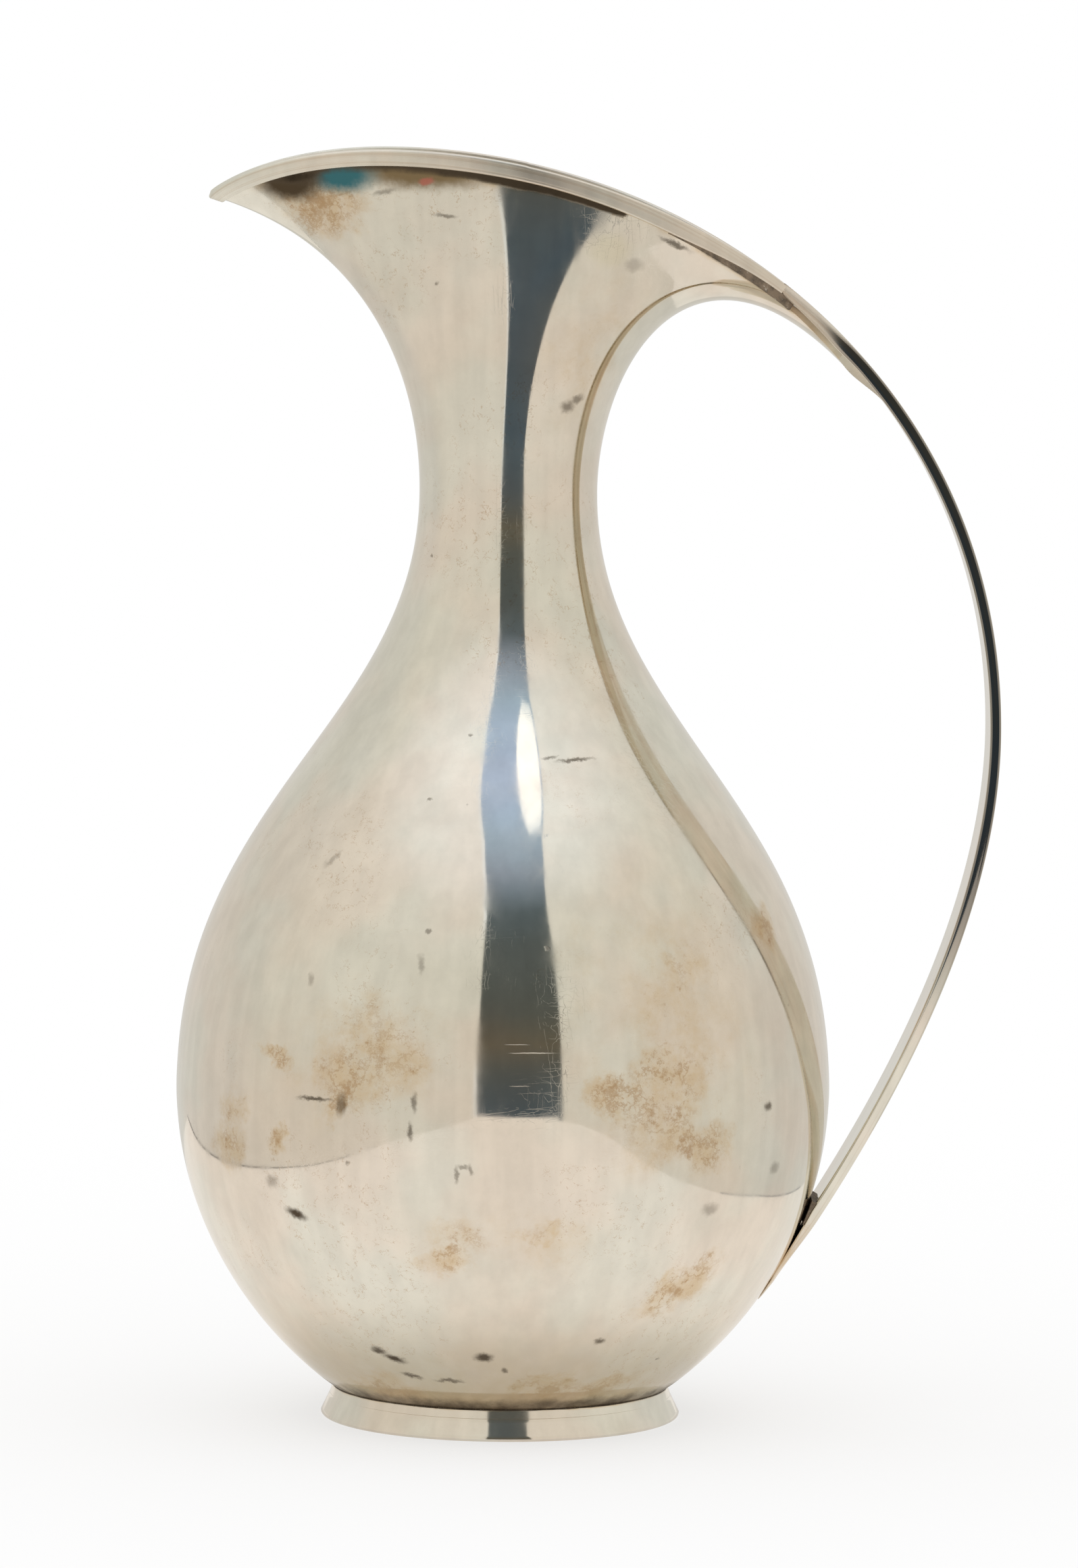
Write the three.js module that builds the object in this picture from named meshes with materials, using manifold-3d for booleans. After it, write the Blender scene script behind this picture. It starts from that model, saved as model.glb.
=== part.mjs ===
// Silver pitcher: a raised, pear-shaped body whose neck opens into a long pointed mouth. The line of
// the rim runs on over the back of the mouth as a strap handle, which lands on the bowl.
// Millimetres, +Z up, spout towards -X, handle towards +X, mirrored across Y.
import * as THREE from "three";
import { mergeVertices } from "three/addons/utils/BufferGeometryUtils.js";
import Module from "manifold-3d";

const wasm = await Module();
wasm.setup();

// Body
const HEIGHT = 220; // table to the highest point of the rim line
const BELLY_RADIUS = 56.7;
const BELLY_HEIGHT = 57.5;
const NECK_RADIUS = 15.4;
const NECK_HEIGHT = 161;
const SHEET = 1.1; // thickness of the raised silver
const BASE_HEIGHT = 2.2; // air under the flat base
const BASE_RADIUS = 15; // flat part of the base
const BASE_PULL = 6; // how far the flat carries into the curve of the base
const BOWL_PULL = 3; // how far the slope at the foot carries into the bowl
const BOWL_RISE = 33; // how far the bowl's upright stretch reaches down from the belly
const SHOULDER_RISE = 50; // how far the belly's upright stretch reaches up
const NECK_DEPTH = 40; // how far the neck's upright stretch reaches down

// Foot
const FOOT_RADIUS = 31.2;
const FOOT_WIDTH = 4; // of the ring's flat underside
const FOOT_HEIGHT = 4.2; // of the ring's crest, under the bowl
const FOOT_LEAN = 1.5; // how far the outer face leans in
const FOOT_SHOULDER = 0.6; // height of the rounded edge between the outer face and the crest
const FOOT_BEVEL = 0.5;
const FOOT_SLOPE = 12; // degrees, of the bowl where it sits on the foot

// Rim line and handle line, seen from the side
const SPOUT_REACH = 52.2; // body axis to the spout's tip
const TIP_DROP = 7.6; // highest point of the rim line above the tip
const TIP_SLOPE = 45; // degrees, of the rim line at the tip
const TIP_PULL = 3.5;
const CROWN_OFFSET = 22; // highest point of the rim line, towards the spout
const CROWN_FRONT_PULL = 18;
const CROWN_BACK_PULL = 56;
const HANDLE_OVERHANG = 28.6; // handle beyond the belly
const HANDLE_HEIGHT = 120; // where the handle stands out furthest
const HANDLE_UPPER_PULL = 61;
const HANDLE_LOWER_PULL = 42;
const TAIL_PULL = 12.5;
const TAIL_TOUCH_HEIGHT = 24.5; // where the handle has come down onto the bowl
const TAIL_END_HEIGHT = 21;
const TAIL_TAPER_HEIGHT = 36; // where the strap starts to thin towards its tail

// Mouth
const MOUTH_HALF_WIDTH = 18.2;
const MOUTH_WIDEST_OFFSET = 2.5; // widest point, towards the handle
const SIDE_FLARE = 0.5; // degrees, of the wall at the widest point
const SIDE_PULL = 20;
const SIDE_NECK_PULL = 18;
const SPOUT_LIP = 1.7; // underside of the spout's tip below the rim line
const SPOUT_NECK_PULL = 18;
const SPOUT_PULL = 27.5;
const SPOUT_TIP_SLOPE = 18; // degrees, of the spout's underside at the tip
const TONGUE_REACH = 58; // body axis to the end of the tongue under the handle
const TONGUE_NECK_PULL = 22;
const TONGUE_PULL = 38;
const TIP_FULLNESS = 0.29; // share of the half width over which the plan turns at the tip
const FRONT_FULLNESS = 0.46; // share of the length over which the side stays parallel
const BACK_FULLNESS = 0.3;
const TONGUE_FULLNESS = 0.36;

// Rim wire
const WIRE_HEIGHT = 2.5;
const WIRE_PROUD = 0.5; // beyond the outside of the wall
const WIRE_BEVEL = 0.4;
const WIRE_UPRIGHT = 0.5; // share of the back quarter over which the wire turns upright

// Handle strap
const HEAD_REACH = 47; // body axis to the strap's front edge
const HEAD_HOLLOW = 4; // depth of the curve in the strap's front edge
const HEAD_FLARE = 9; // length over which the head narrows to the strap
const STRAP_HALF_WIDTH = 8.8;
const TAIL_HALF_WIDTH = 7.5;
const LAP_THICKNESS = 1.4; // over the tongue
const NECK_THICKNESS = 2.1; // just behind the tongue
const STRAP_THICKNESS = 1.9;
const TAIL_THICKNESS = 0.5;
const STRAP_BEVEL = 0.15; // share of the thickness that the edges are rounded by

// Solder
const SEAM = 0.3; // clearance between soldered pieces
const HEAD_SOLDER_LENGTH = 6;
const HEAD_SOLDER_HALF_WIDTH = 5;
const TAIL_SOLDER_TOP = 1.1; // thickness at the upper end
const TAIL_SOLDER_END = 0.25; // thickness where solder fades out
const SOLDER_EDGE = 0.2; // thickness at a feathered end

// Facets
const ROUND_STEPS = 48;
const BASE_STEPS = 4;
const BOWL_STEPS = 11;
const SHOULDER_STEPS = 13;
const MOUTH_STEPS = 11;
const WIRE_STEPS = 60;
const HEAD_STEPS = 8;
const UPPER_STEPS = 14;
const LOWER_STEPS = 18;
const TAIL_STEPS = 4;
const SOLDER_STEPS = 4;

const CIRCLE_FULLNESS = 0.5523; // makes a cubic follow a quarter circle
const DIFFERENCE = 1e-3; // step for slopes that are found by difference
const SEARCH_STEPS = 50;

const UP = new THREE.Vector3(0, 0, 1);
const { degToRad, lerp, smoothstep } = THREE.MathUtils;

// Shorthand for a point of a side view or a section: distance from the axis, height.
function at(distance, height) {
  return new THREE.Vector2(distance, height);
}

// Unit vector at an angle above the horizontal.
function heading(degrees) {
  return at(Math.cos(degToRad(degrees)), Math.sin(degToRad(degrees)));
}

function cubic(start, startHandle, endHandle, end) {
  return new THREE.CubicBezierCurve(start, startHandle, endHandle, end);
}

// Exact unit tangent of a cubic.
function tangentAt(curve, t) {
  const s = 1 - t;
  const first = curve.v1.clone().sub(curve.v0).multiplyScalar(s * s);
  const second = curve.v2.clone().sub(curve.v1).multiplyScalar(2 * s * t);
  const third = curve.v3.clone().sub(curve.v2).multiplyScalar(t * t);
  return first.add(second).add(third).normalize();
}

// Right-hand normal of a curve: outwards on a body profile that is drawn upwards.
function normalAt(curve, t) {
  const tangent = tangentAt(curve, t);
  return at(tangent.y, -tangent.x);
}

// Value between low and high where a rising function reaches the target.
function solve(rising, target, low, high) {
  for (let step = 0; step < SEARCH_STEPS; step++) {
    const middle = (low + high) / 2;
    if (rising(middle) < target) low = middle;
    else high = middle;
  }
  return (low + high) / 2;
}

// Evenly spaced values from low to high, both included.
function spread(low, high, steps) {
  return Array.from({ length: steps + 1 }, (_, step) => lerp(low, high, step / steps));
}

// Body profile: flat base, curve of the base, bowl up to the belly, shoulder up to the neck.
const footInside = FOOT_RADIUS - FOOT_WIDTH;
const seat = at(footInside + SEAM, FOOT_HEIGHT + SEAM);
const seatHeading = heading(FOOT_SLOPE);
const baseCurve = cubic(
  at(BASE_RADIUS, BASE_HEIGHT),
  at(BASE_RADIUS + BASE_PULL, BASE_HEIGHT),
  seat.clone().addScaledVector(seatHeading, -BOWL_PULL),
  seat,
);
const bowlCurve = cubic(
  seat,
  seat.clone().addScaledVector(seatHeading, BOWL_PULL),
  at(BELLY_RADIUS, BELLY_HEIGHT - BOWL_RISE),
  at(BELLY_RADIUS, BELLY_HEIGHT),
);
const shoulderCurve = cubic(
  at(BELLY_RADIUS, BELLY_HEIGHT),
  at(BELLY_RADIUS, BELLY_HEIGHT + SHOULDER_RISE),
  at(NECK_RADIUS, NECK_HEIGHT - NECK_DEPTH),
  at(NECK_RADIUS, NECK_HEIGHT),
);

// Place on the bowl's outside at a given height.
function bowlAtHeight(height) {
  return solve((t) => bowlCurve.getPoint(t).y, height, 0, 1);
}

// Side line: from the spout's tip over the crown, then down the outside of the handle.
const tip = at(-SPOUT_REACH, HEIGHT - TIP_DROP);
const crown = at(-CROWN_OFFSET, HEIGHT);
const handleOut = at(BELLY_RADIUS + HANDLE_OVERHANG, HANDLE_HEIGHT);
const frontLine = cubic(
  tip,
  tip.clone().addScaledVector(heading(TIP_SLOPE), TIP_PULL),
  at(crown.x - CROWN_FRONT_PULL, HEIGHT),
  crown,
);
const backLine = cubic(
  crown,
  at(crown.x + CROWN_BACK_PULL, HEIGHT),
  at(handleOut.x, HANDLE_HEIGHT + HANDLE_UPPER_PULL),
  handleOut,
);

function backLineAt(x) {
  return solve((t) => backLine.getPoint(t).x, x, 0, 1);
}

// Height of the side line over a point of the mouth.
function lineHeight(x) {
  if (x > crown.x) return backLine.getPoint(backLineAt(x)).y;
  const t = solve((value) => frontLine.getPoint(value).x, x, 0, 1);
  return frontLine.getPoint(t).y;
}

// Thickness of the strap at a height on the handle line.
const headHeight = lineHeight(HEAD_REACH);
const tongueHeight = lineHeight(TONGUE_REACH);
function strapThickness(height) {
  if (height > tongueHeight) {
    const lapped = (height - tongueHeight) / (headHeight - tongueHeight);
    return lerp(NECK_THICKNESS, LAP_THICKNESS, lapped);
  }
  if (height > HANDLE_HEIGHT) {
    return lerp(STRAP_THICKNESS, NECK_THICKNESS, smoothstep(height, HANDLE_HEIGHT, tongueHeight));
  }
  const thinned = THREE.MathUtils.clamp(
    (TAIL_TAPER_HEIGHT - height) / (TAIL_TAPER_HEIGHT - TAIL_END_HEIGHT),
    0,
    1,
  );
  return lerp(STRAP_THICKNESS, TAIL_THICKNESS, thinned);
}

// The handle's outside below its furthest point: a sweep onto the bowl, then a tail along it.
const touch = bowlAtHeight(TAIL_TOUCH_HEIGHT);
const tailEnd = bowlAtHeight(TAIL_END_HEIGHT);
function tailPoint(t) {
  const onBowl = bowlCurve.getPoint(t);
  return onBowl.addScaledVector(normalAt(bowlCurve, t), SEAM + strapThickness(onBowl.y));
}
const lowerLine = cubic(
  handleOut,
  at(handleOut.x, HANDLE_HEIGHT - HANDLE_LOWER_PULL),
  tailPoint(touch).addScaledVector(tangentAt(bowlCurve, touch), TAIL_PULL),
  tailPoint(touch),
);

// The whole outside line of the strap, by stretch: 0 to 1 upper, 1 to 2 lower, 2 to 3 tail.
const headStart = backLineAt(HEAD_REACH + SEAM / 2);
function strapLine(stretch) {
  if (stretch <= 1) {
    const t = lerp(headStart, 1, stretch);
    return { point: backLine.getPoint(t), tangent: tangentAt(backLine, t) };
  }
  if (stretch <= 2) {
    const t = stretch - 1;
    return { point: lowerLine.getPoint(t), tangent: tangentAt(lowerLine, t) };
  }
  const t = lerp(touch, tailEnd, stretch - 2);
  return { point: tailPoint(t), tangent: tangentAt(bowlCurve, t).negate() };
}

// Meridians of the mouth, from the neck to the edge of the wall under the rim wire.
const wireReach = SEAM + WIRE_HEIGHT;
const sideRise = wireReach * Math.cos(degToRad(SIDE_FLARE));
const spoutEnd = at(SPOUT_REACH - wireReach, tip.y - SPOUT_LIP);
const spoutCurve = cubic(
  at(NECK_RADIUS, NECK_HEIGHT),
  at(NECK_RADIUS, NECK_HEIGHT + SPOUT_NECK_PULL),
  spoutEnd.clone().addScaledVector(heading(SPOUT_TIP_SLOPE), -SPOUT_PULL),
  spoutEnd,
);
const sideEnd = at(MOUTH_HALF_WIDTH, lineHeight(MOUTH_WIDEST_OFFSET) - sideRise);
const sideCurve = cubic(
  at(NECK_RADIUS, NECK_HEIGHT),
  at(NECK_RADIUS, NECK_HEIGHT + SIDE_NECK_PULL),
  sideEnd.clone().addScaledVector(heading(90 - SIDE_FLARE), -SIDE_PULL),
  sideEnd,
);
const tongueHeading = tangentAt(backLine, backLineAt(TONGUE_REACH));
const tongueEnd = at(TONGUE_REACH, tongueHeight - lapDrop(TONGUE_REACH));
const tongueCurve = cubic(
  at(NECK_RADIUS, NECK_HEIGHT),
  at(NECK_RADIUS, NECK_HEIGHT + TONGUE_NECK_PULL),
  tongueEnd.clone().addScaledVector(tongueHeading, -TONGUE_PULL),
  tongueEnd,
);

// Depth of the wall's edge below the side line where the strap lies over the tongue.
function lapDrop(x) {
  const covering = strapThickness(lineHeight(x)) + SEAM + SHEET;
  return covering / tangentAt(backLine, backLineAt(x)).x;
}

// Height of the wall's edge under the side line, at a point of the mouth's plan.
function edgeHeight(x) {
  if (x < MOUTH_WIDEST_OFFSET) {
    const length = MOUTH_WIDEST_OFFSET + spoutEnd.x;
    const forward = (MOUTH_WIDEST_OFFSET - x) / length;
    const endDrop = lineHeight(-spoutEnd.x) - spoutEnd.y;
    return lineHeight(x) - lerp(sideRise, endDrop, forward ** 4);
  }
  if (x > HEAD_REACH) return lineHeight(x) - lapDrop(x);
  const lapped = smoothstep(x, MOUTH_WIDEST_OFFSET, HEAD_REACH);
  return lineHeight(x) - lerp(sideRise, lapDrop(HEAD_REACH), lapped);
}

// Point on the outside of the mouth. Round goes 0 at the tongue, 1 at the side, 2 at the spout's
// tip and back along the other side to 4; climb goes 0 at the neck, 1 at the edge.
function mouthPoint(round, climb) {
  const mirrored = round < 0 || round > 2;
  const turn = mirrored ? Math.min(Math.abs(round), 4 - round) : round;
  const widest = MOUTH_WIDEST_OFFSET * smoothstep(climb, 0, 1);
  const side = sideCurve.getPoint(climb);
  const front = turn > 1;
  const end = (front ? spoutCurve : tongueCurve).getPoint(climb);
  const endSide = front ? -1 : 1;
  const length = end.x - endSide * widest;
  const along = lerp(CIRCLE_FULLNESS, front ? FRONT_FULLNESS : BACK_FULLNESS, climb);
  const across = lerp(CIRCLE_FULLNESS, front ? TIP_FULLNESS : TONGUE_FULLNESS, climb);
  const plan = cubic(
    at(0, side.x),
    at(along * length, side.x),
    at(length, across * side.x),
    at(length, 0),
  ).getPoint(Math.abs(turn - 1));
  const share = plan.x / length;
  const x = widest + endSide * plan.x;
  const rimEnd = front ? spoutEnd : tongueEnd;
  const rimX = MOUTH_WIDEST_OFFSET + endSide * share * (rimEnd.x - endSide * MOUTH_WIDEST_OFFSET);
  const rimSwell = edgeHeight(rimX) - lerp(sideEnd.y, rimEnd.y, share ** 2);
  const z = lerp(side.y, end.y, share ** 2) + rimSwell * climb ** 2;
  return new THREE.Vector3(x, mirrored ? -plan.y : plan.y, z);
}

// Frame of the mouth's wall: along the edge, out of the wall, and on past the edge.
function mouthFrame(round, climb) {
  const before = mouthPoint(round - DIFFERENCE, climb);
  const along = mouthPoint(round + DIFFERENCE, climb).sub(before).normalize();
  const below = mouthPoint(round, climb - DIFFERENCE);
  const rising = mouthPoint(round, climb).sub(below);
  const out = along.clone().cross(rising).normalize();
  return { along, out, past: out.clone().cross(along) };
}

// Closed solid from vertices and triangles, with its faces turned outwards.
function closedGeometry(points, triangles) {
  const corners = new Float32Array(points.flatMap((p) => [p.x, p.y, p.z]));
  let sixVolumes = 0;
  for (const [a, b, c] of triangles) {
    sixVolumes += points[a].dot(points[b].clone().cross(points[c]));
  }
  const facing = sixVolumes > 0 ? triangles : triangles.map(([a, b, c]) => [a, c, b]);
  return new THREE.BufferGeometry()
    .setAttribute("position", new THREE.BufferAttribute(corners, 3))
    .setIndex(facing.flat());
}

// Wall between an outer and an inner grid, both rows of points that close round.
function shellGeometry(outer, inner) {
  const columns = outer[0].length;
  const layers = [...outer, ...inner.toReversed(), outer[0]];
  const points = layers.slice(0, -1).flat();
  const triangles = [];
  for (let layer = 0; layer + 1 < layers.length; layer++) {
    const next = (layer + 1) % (layers.length - 1);
    for (let column = 0; column < columns; column++) {
      const beside = (column + 1) % columns;
      const a = layer * columns + column;
      const b = layer * columns + beside;
      const c = next * columns + beside;
      const d = next * columns + column;
      triangles.push([a, b, c], [a, c, d]);
    }
  }
  return closedGeometry(points, triangles);
}

// Bar through equal loops of points, closed at both ends. Point n of a loop lies opposite its
// nth point from the end, so the ends are ladders between the two.
function barGeometry(loops) {
  const count = loops[0].length;
  const last = (loops.length - 1) * count;
  const triangles = [];
  for (let start = 0; start < last; start += count) {
    for (let n = 0; n < count; n++) {
      const next = (n + 1) % count;
      triangles.push([start + n, start + next, start + count + next]);
      triangles.push([start + n, start + count + next, start + count + n]);
    }
  }
  for (let n = 0; n + 1 < count / 2; n++) {
    const opposite = count - 1 - n;
    triangles.push([n, opposite, opposite - 1], [n, opposite - 1, n + 1]);
    triangles.push([last + n, last + opposite - 1, last + opposite]);
    triangles.push([last + n, last + n + 1, last + opposite - 1]);
  }
  return closedGeometry(loops.flat(), triangles);
}

// Solid of revolution about Z from a closed outline, or one that starts and ends on the axis.
function turnedGeometry(outline) {
  return new THREE.LatheGeometry(outline, ROUND_STEPS).rotateX(Math.PI / 2);
}

function manifoldOf(geometry) {
  const bare = geometry.clone();
  bare.deleteAttribute("normal");
  bare.deleteAttribute("uv");
  const merged = mergeVertices(bare);
  return new wasm.Manifold(
    new wasm.Mesh({
      numProp: 3,
      vertProperties: merged.attributes.position.array,
      triVerts: new Uint32Array(merged.index.array),
    }),
  );
}

// One geometry less another.
function cutGeometry(geometry, cutter) {
  const mesh = manifoldOf(geometry).subtract(manifoldOf(cutter)).getMesh();
  return new THREE.BufferGeometry()
    .setAttribute("position", new THREE.BufferAttribute(mesh.vertProperties, 3))
    .setIndex(new THREE.BufferAttribute(mesh.triVerts, 1));
}

// Places on a curve and on its inside, one sheet away.
function sheetSides(curve, steps) {
  const places = spread(0, 1, steps);
  const outside = places.map((t) => curve.getPoint(t));
  const inside = places.map((t) => curve.getPoint(t).addScaledVector(normalAt(curve, t), -SHEET));
  return { outside, inside };
}

function lowerBowl() {
  const base = sheetSides(baseCurve, BASE_STEPS);
  const bowl = sheetSides(bowlCurve, BOWL_STEPS);
  const outside = [at(0, BASE_HEIGHT), ...base.outside, ...bowl.outside.slice(1)];
  const inside = [at(0, BASE_HEIGHT + SHEET), ...base.inside, ...bowl.inside.slice(1)];
  return turnedGeometry([...outside, ...inside.toReversed()]);
}

function neckAndSpout() {
  const columns = spread(0, 4, ROUND_STEPS).slice(0, -1);
  const ring = ({ x, y }) =>
    columns.map((round) => {
      const angle = (round * Math.PI) / 2;
      return new THREE.Vector3(x * Math.cos(angle), x * Math.sin(angle), y);
    });
  const shoulder = sheetSides(shoulderCurve, SHOULDER_STEPS);
  const climbs = spread(0, 1, MOUTH_STEPS).slice(1);
  const mouth = climbs.map((climb) => columns.map((round) => mouthPoint(round, climb)));
  const lining = climbs.map((climb, row) =>
    columns.map((round, column) =>
      mouth[row][column].clone().addScaledVector(mouthFrame(round, climb).out, -SHEET),
    ),
  );
  const outer = [...shoulder.outside.map(ring), ...mouth];
  const inner = [...shoulder.inside.map(ring), ...lining];
  return shellGeometry(outer, inner);
}

// Place round the mouth where the wall's edge reaches a distance towards the handle.
function roundAtReach(x) {
  return solve((round) => -mouthPoint(round, 1).x, -x, 0, 1);
}

// Section of the rim wire round one place of the wall's edge. The wire carries on the wall round
// the spout and the sides, and stands upright on the wall behind, where that spreads flat.
function wireLoop(round) {
  const edge = mouthPoint(round, 1);
  const { along, out, past } = mouthFrame(round, 1);
  const backwards = Math.max(0, 1 - Math.min(round, 4 - round));
  const upright = UP.clone().addScaledVector(along, -along.dot(UP)).normalize();
  const rise = past.lerp(upright, smoothstep(backwards, 0, WIRE_UPRIGHT)).normalize();
  const side = along.clone().cross(rise);
  const foot = SEAM + SHEET * Math.max(0, -out.dot(rise));
  const slope = (lineHeight(edge.x + DIFFERENCE) - lineHeight(edge.x)) / DIFFERENCE;
  const lineTop = (lineHeight(edge.x) - edge.z) / (rise.z - slope * rise.x);
  const top = backwards > 0 ? lineTop : wireReach;
  const section = [
    at(-SHEET, top - WIRE_BEVEL),
    at(WIRE_BEVEL - SHEET, top),
    at(WIRE_PROUD - WIRE_BEVEL, top),
    at(WIRE_PROUD, top - WIRE_BEVEL),
    at(WIRE_PROUD, foot + WIRE_BEVEL),
    at(WIRE_PROUD - WIRE_BEVEL, foot),
    at(WIRE_BEVEL - SHEET, foot),
    at(-SHEET, foot + WIRE_BEVEL),
  ];
  return section.map(({ x, y }) => edge.clone().addScaledVector(side, x).addScaledVector(rise, y));
}

function rimWire() {
  const first = roundAtReach(HEAD_REACH + WIRE_HEIGHT);
  const loops = spread(first, 4 - first, WIRE_STEPS).map(wireLoop);
  const headHeading = tangentAt(backLine, backLineAt(HEAD_REACH));
  const behindHead = new THREE.BoxGeometry(HEIGHT, HEIGHT, HEIGHT);
  behindHead.translate(HEIGHT / 2 - SEAM / 2, 0, 0);
  behindHead.rotateY(-headHeading.angle());
  behindHead.translate(HEAD_REACH, 0, headHeight);
  return cutGeometry(barGeometry(loops), behindHead);
}

// Half width of the strap at a point of its outside line.
const headHalfWidth = mouthPoint(roundAtReach(HEAD_REACH), 1).y + WIRE_PROUD;
function strapHalfWidth(stretch, { x, y }) {
  const flare = THREE.MathUtils.clamp((HEAD_REACH + HEAD_FLARE - x) / HEAD_FLARE, 0, 1);
  if (stretch <= 1) return lerp(STRAP_HALF_WIDTH, headHalfWidth, flare ** 2);
  const lowered = (HANDLE_HEIGHT - y) / (HANDLE_HEIGHT - TAIL_END_HEIGHT);
  const width = lerp(STRAP_HALF_WIDTH, TAIL_HALF_WIDTH, lowered);
  const tongue = Math.max(0, stretch - 2);
  return width * Math.sqrt(1 - (1 - TAIL_THICKNESS / STRAP_THICKNESS) * tongue ** 2);
}

// How far a flat section has to dip at a distance from its middle to lie on the bowl.
function dishing(y, { x, y: height }) {
  const landed = 1 - smoothstep(height, TAIL_TOUCH_HEIGHT, TAIL_TAPER_HEIGHT);
  return (landed * y ** 2) / (2 * x);
}

// Point of the strap: a distance along it, across it, and down from its outside line.
function strapPoint(stretch, y, depth) {
  const { point, tangent } = strapLine(stretch);
  const inward = at(tangent.y, -tangent.x);
  const place = point.clone().addScaledVector(inward, depth + dishing(y, point));
  return new THREE.Vector3(place.x, y, place.y);
}

function handleStrap() {
  const hollow = HEAD_HOLLOW / (backLine.getLength() * (1 - headStart));
  const headEnd = 2 * hollow;
  const stretches = [
    ...spread(0, headEnd, HEAD_STEPS),
    ...spread(headEnd, 1, UPPER_STEPS).slice(1),
    ...spread(1, 2, LOWER_STEPS).slice(1),
    ...spread(2, 3, TAIL_STEPS).slice(1),
  ];
  const loops = stretches.map((stretch) => {
    const { point } = strapLine(stretch);
    const half = strapHalfWidth(stretch, point);
    const thickness = strapThickness(point.y);
    const bevel = STRAP_BEVEL * thickness;
    const flat = half - bevel;
    const upper = [-flat, -flat / 2, 0, flat / 2, flat].map((y) => [y, 0]);
    const lower = upper.toReversed().map(([y]) => [y, thickness]);
    const section = [
      [-half, bevel],
      ...upper,
      [half, bevel],
      [half, thickness - bevel],
      ...lower,
      [-half, thickness - bevel],
    ];
    const fade = Math.max(0, 1 - stretch / headEnd);
    return section.map(([y, depth]) => {
      const setBack = hollow * fade * (1 - (y / half) ** 2);
      return strapPoint(stretch + setBack, y, depth);
    });
  });
  return barGeometry(loops);
}

// Foot ring outline: flat underside, leaning outer face, rounded shoulder up to the crest.
const shoulderStart = at(FOOT_RADIUS - FOOT_LEAN, FOOT_HEIGHT - FOOT_SHOULDER);
const crest = at(footInside + 2 * SEAM, FOOT_HEIGHT);
const footShoulder = cubic(
  shoulderStart,
  at(shoulderStart.x, lerp(shoulderStart.y, crest.y, CIRCLE_FULLNESS)),
  at(lerp(crest.x, shoulderStart.x, CIRCLE_FULLNESS), crest.y),
  crest,
);

function footRing() {
  const outline = [
    at(footInside, 0),
    at(FOOT_RADIUS - FOOT_BEVEL, 0),
    at(FOOT_RADIUS, FOOT_BEVEL),
    ...footShoulder.getPoints(SOLDER_STEPS),
    at(footInside, crest.y - 2 * SEAM),
    at(footInside, 0),
  ];
  return turnedGeometry(outline);
}

// Heights of the foot's shoulder and of the bowl above it, at a distance from the axis.
function shoulderHeight(radius) {
  const t = solve((value) => -footShoulder.getPoint(value).x, -radius, 0, 1);
  return footShoulder.getPoint(t).y;
}
function bowlHeight(radius) {
  return bowlCurve.getPoint(solve((t) => bowlCurve.getPoint(t).x, radius, 0, 1)).y;
}

function footSolderFillet() {
  const gap = (radius) => bowlHeight(radius) - shoulderHeight(radius) - 2 * SEAM;
  const innermost = solve(gap, SOLDER_EDGE, crest.x, shoulderStart.x);
  const radii = spread(innermost, shoulderStart.x, SOLDER_STEPS);
  const under = radii.map((radius) => at(radius, shoulderHeight(radius) + SEAM));
  const over = radii.map((radius) => at(radius, bowlHeight(radius) - SEAM));
  return turnedGeometry([...under, ...over.toReversed(), under[0]]);
}

// Wedge of solder under the strap, through stretches with a thickness and a half width each.
function strapSolder(runs) {
  return barGeometry(
    runs.map(({ stretch, thickness, half }) => {
      const depth = strapThickness(strapLine(stretch).point.y) + SEAM;
      return [
        strapPoint(stretch, -half, depth),
        strapPoint(stretch, half, depth),
        strapPoint(stretch, half, depth + thickness),
        strapPoint(stretch, -half, depth + thickness),
      ];
    }),
  );
}

function handleHeadSolder() {
  const stretchAt = (x) => (backLineAt(x) - headStart) / (1 - headStart);
  const overTongueEnd = TONGUE_REACH - lapDrop(TONGUE_REACH) * tongueHeading.x * tongueHeading.y;
  const start = stretchAt(overTongueEnd + 2 * SEAM);
  const end = stretchAt(overTongueEnd + HEAD_SOLDER_LENGTH * tongueHeading.x);
  const runs = spread(0, 1, SOLDER_STEPS).map((share) => ({
    stretch: lerp(start, end, share),
    thickness: lerp(SHEET, SOLDER_EDGE, share),
    half: lerp(HEAD_SOLDER_HALF_WIDTH, HEAD_SOLDER_HALF_WIDTH / 2, share),
  }));
  return strapSolder(runs);
}

// Room for solder between the strap and the bowl at a stretch of the lower handle.
function solderRoom(stretch) {
  const { point, tangent } = strapLine(stretch);
  const inward = at(tangent.y, -tangent.x);
  const inside = (depth) => {
    const place = point.clone().addScaledVector(inward, depth);
    return place.y < BELLY_HEIGHT ? bowlCurve.getPoint(bowlAtHeight(place.y)).x - place.x : -1;
  };
  const reach = solve(inside, 0, 0, HANDLE_OVERHANG);
  return reach - strapThickness(point.y) - 2 * SEAM;
}

function handleTailSolder() {
  const place = (room) => solve((stretch) => -solderRoom(stretch), -room, 1, 2);
  const runs = spread(place(TAIL_SOLDER_TOP), place(TAIL_SOLDER_END), SOLDER_STEPS);
  return strapSolder(
    runs.map((stretch) => ({
      stretch,
      thickness: solderRoom(stretch),
      half: TAIL_HALF_WIDTH - STRAP_THICKNESS / 2,
    })),
  );
}

// Assembly
const POLISHED = { color: 0xd9cfbd, metalness: 1, roughness: 0.2 };
const WORN = { color: 0xcfc4b0, metalness: 1, roughness: 0.3 };
const SOLDERED = { color: 0x6b5a44, metalness: 1, roughness: 0.6 };

function piece(name, geometry, finish) {
  const mesh = new THREE.Mesh(geometry, new THREE.MeshStandardMaterial(finish));
  mesh.name = name;
  return mesh;
}

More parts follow.
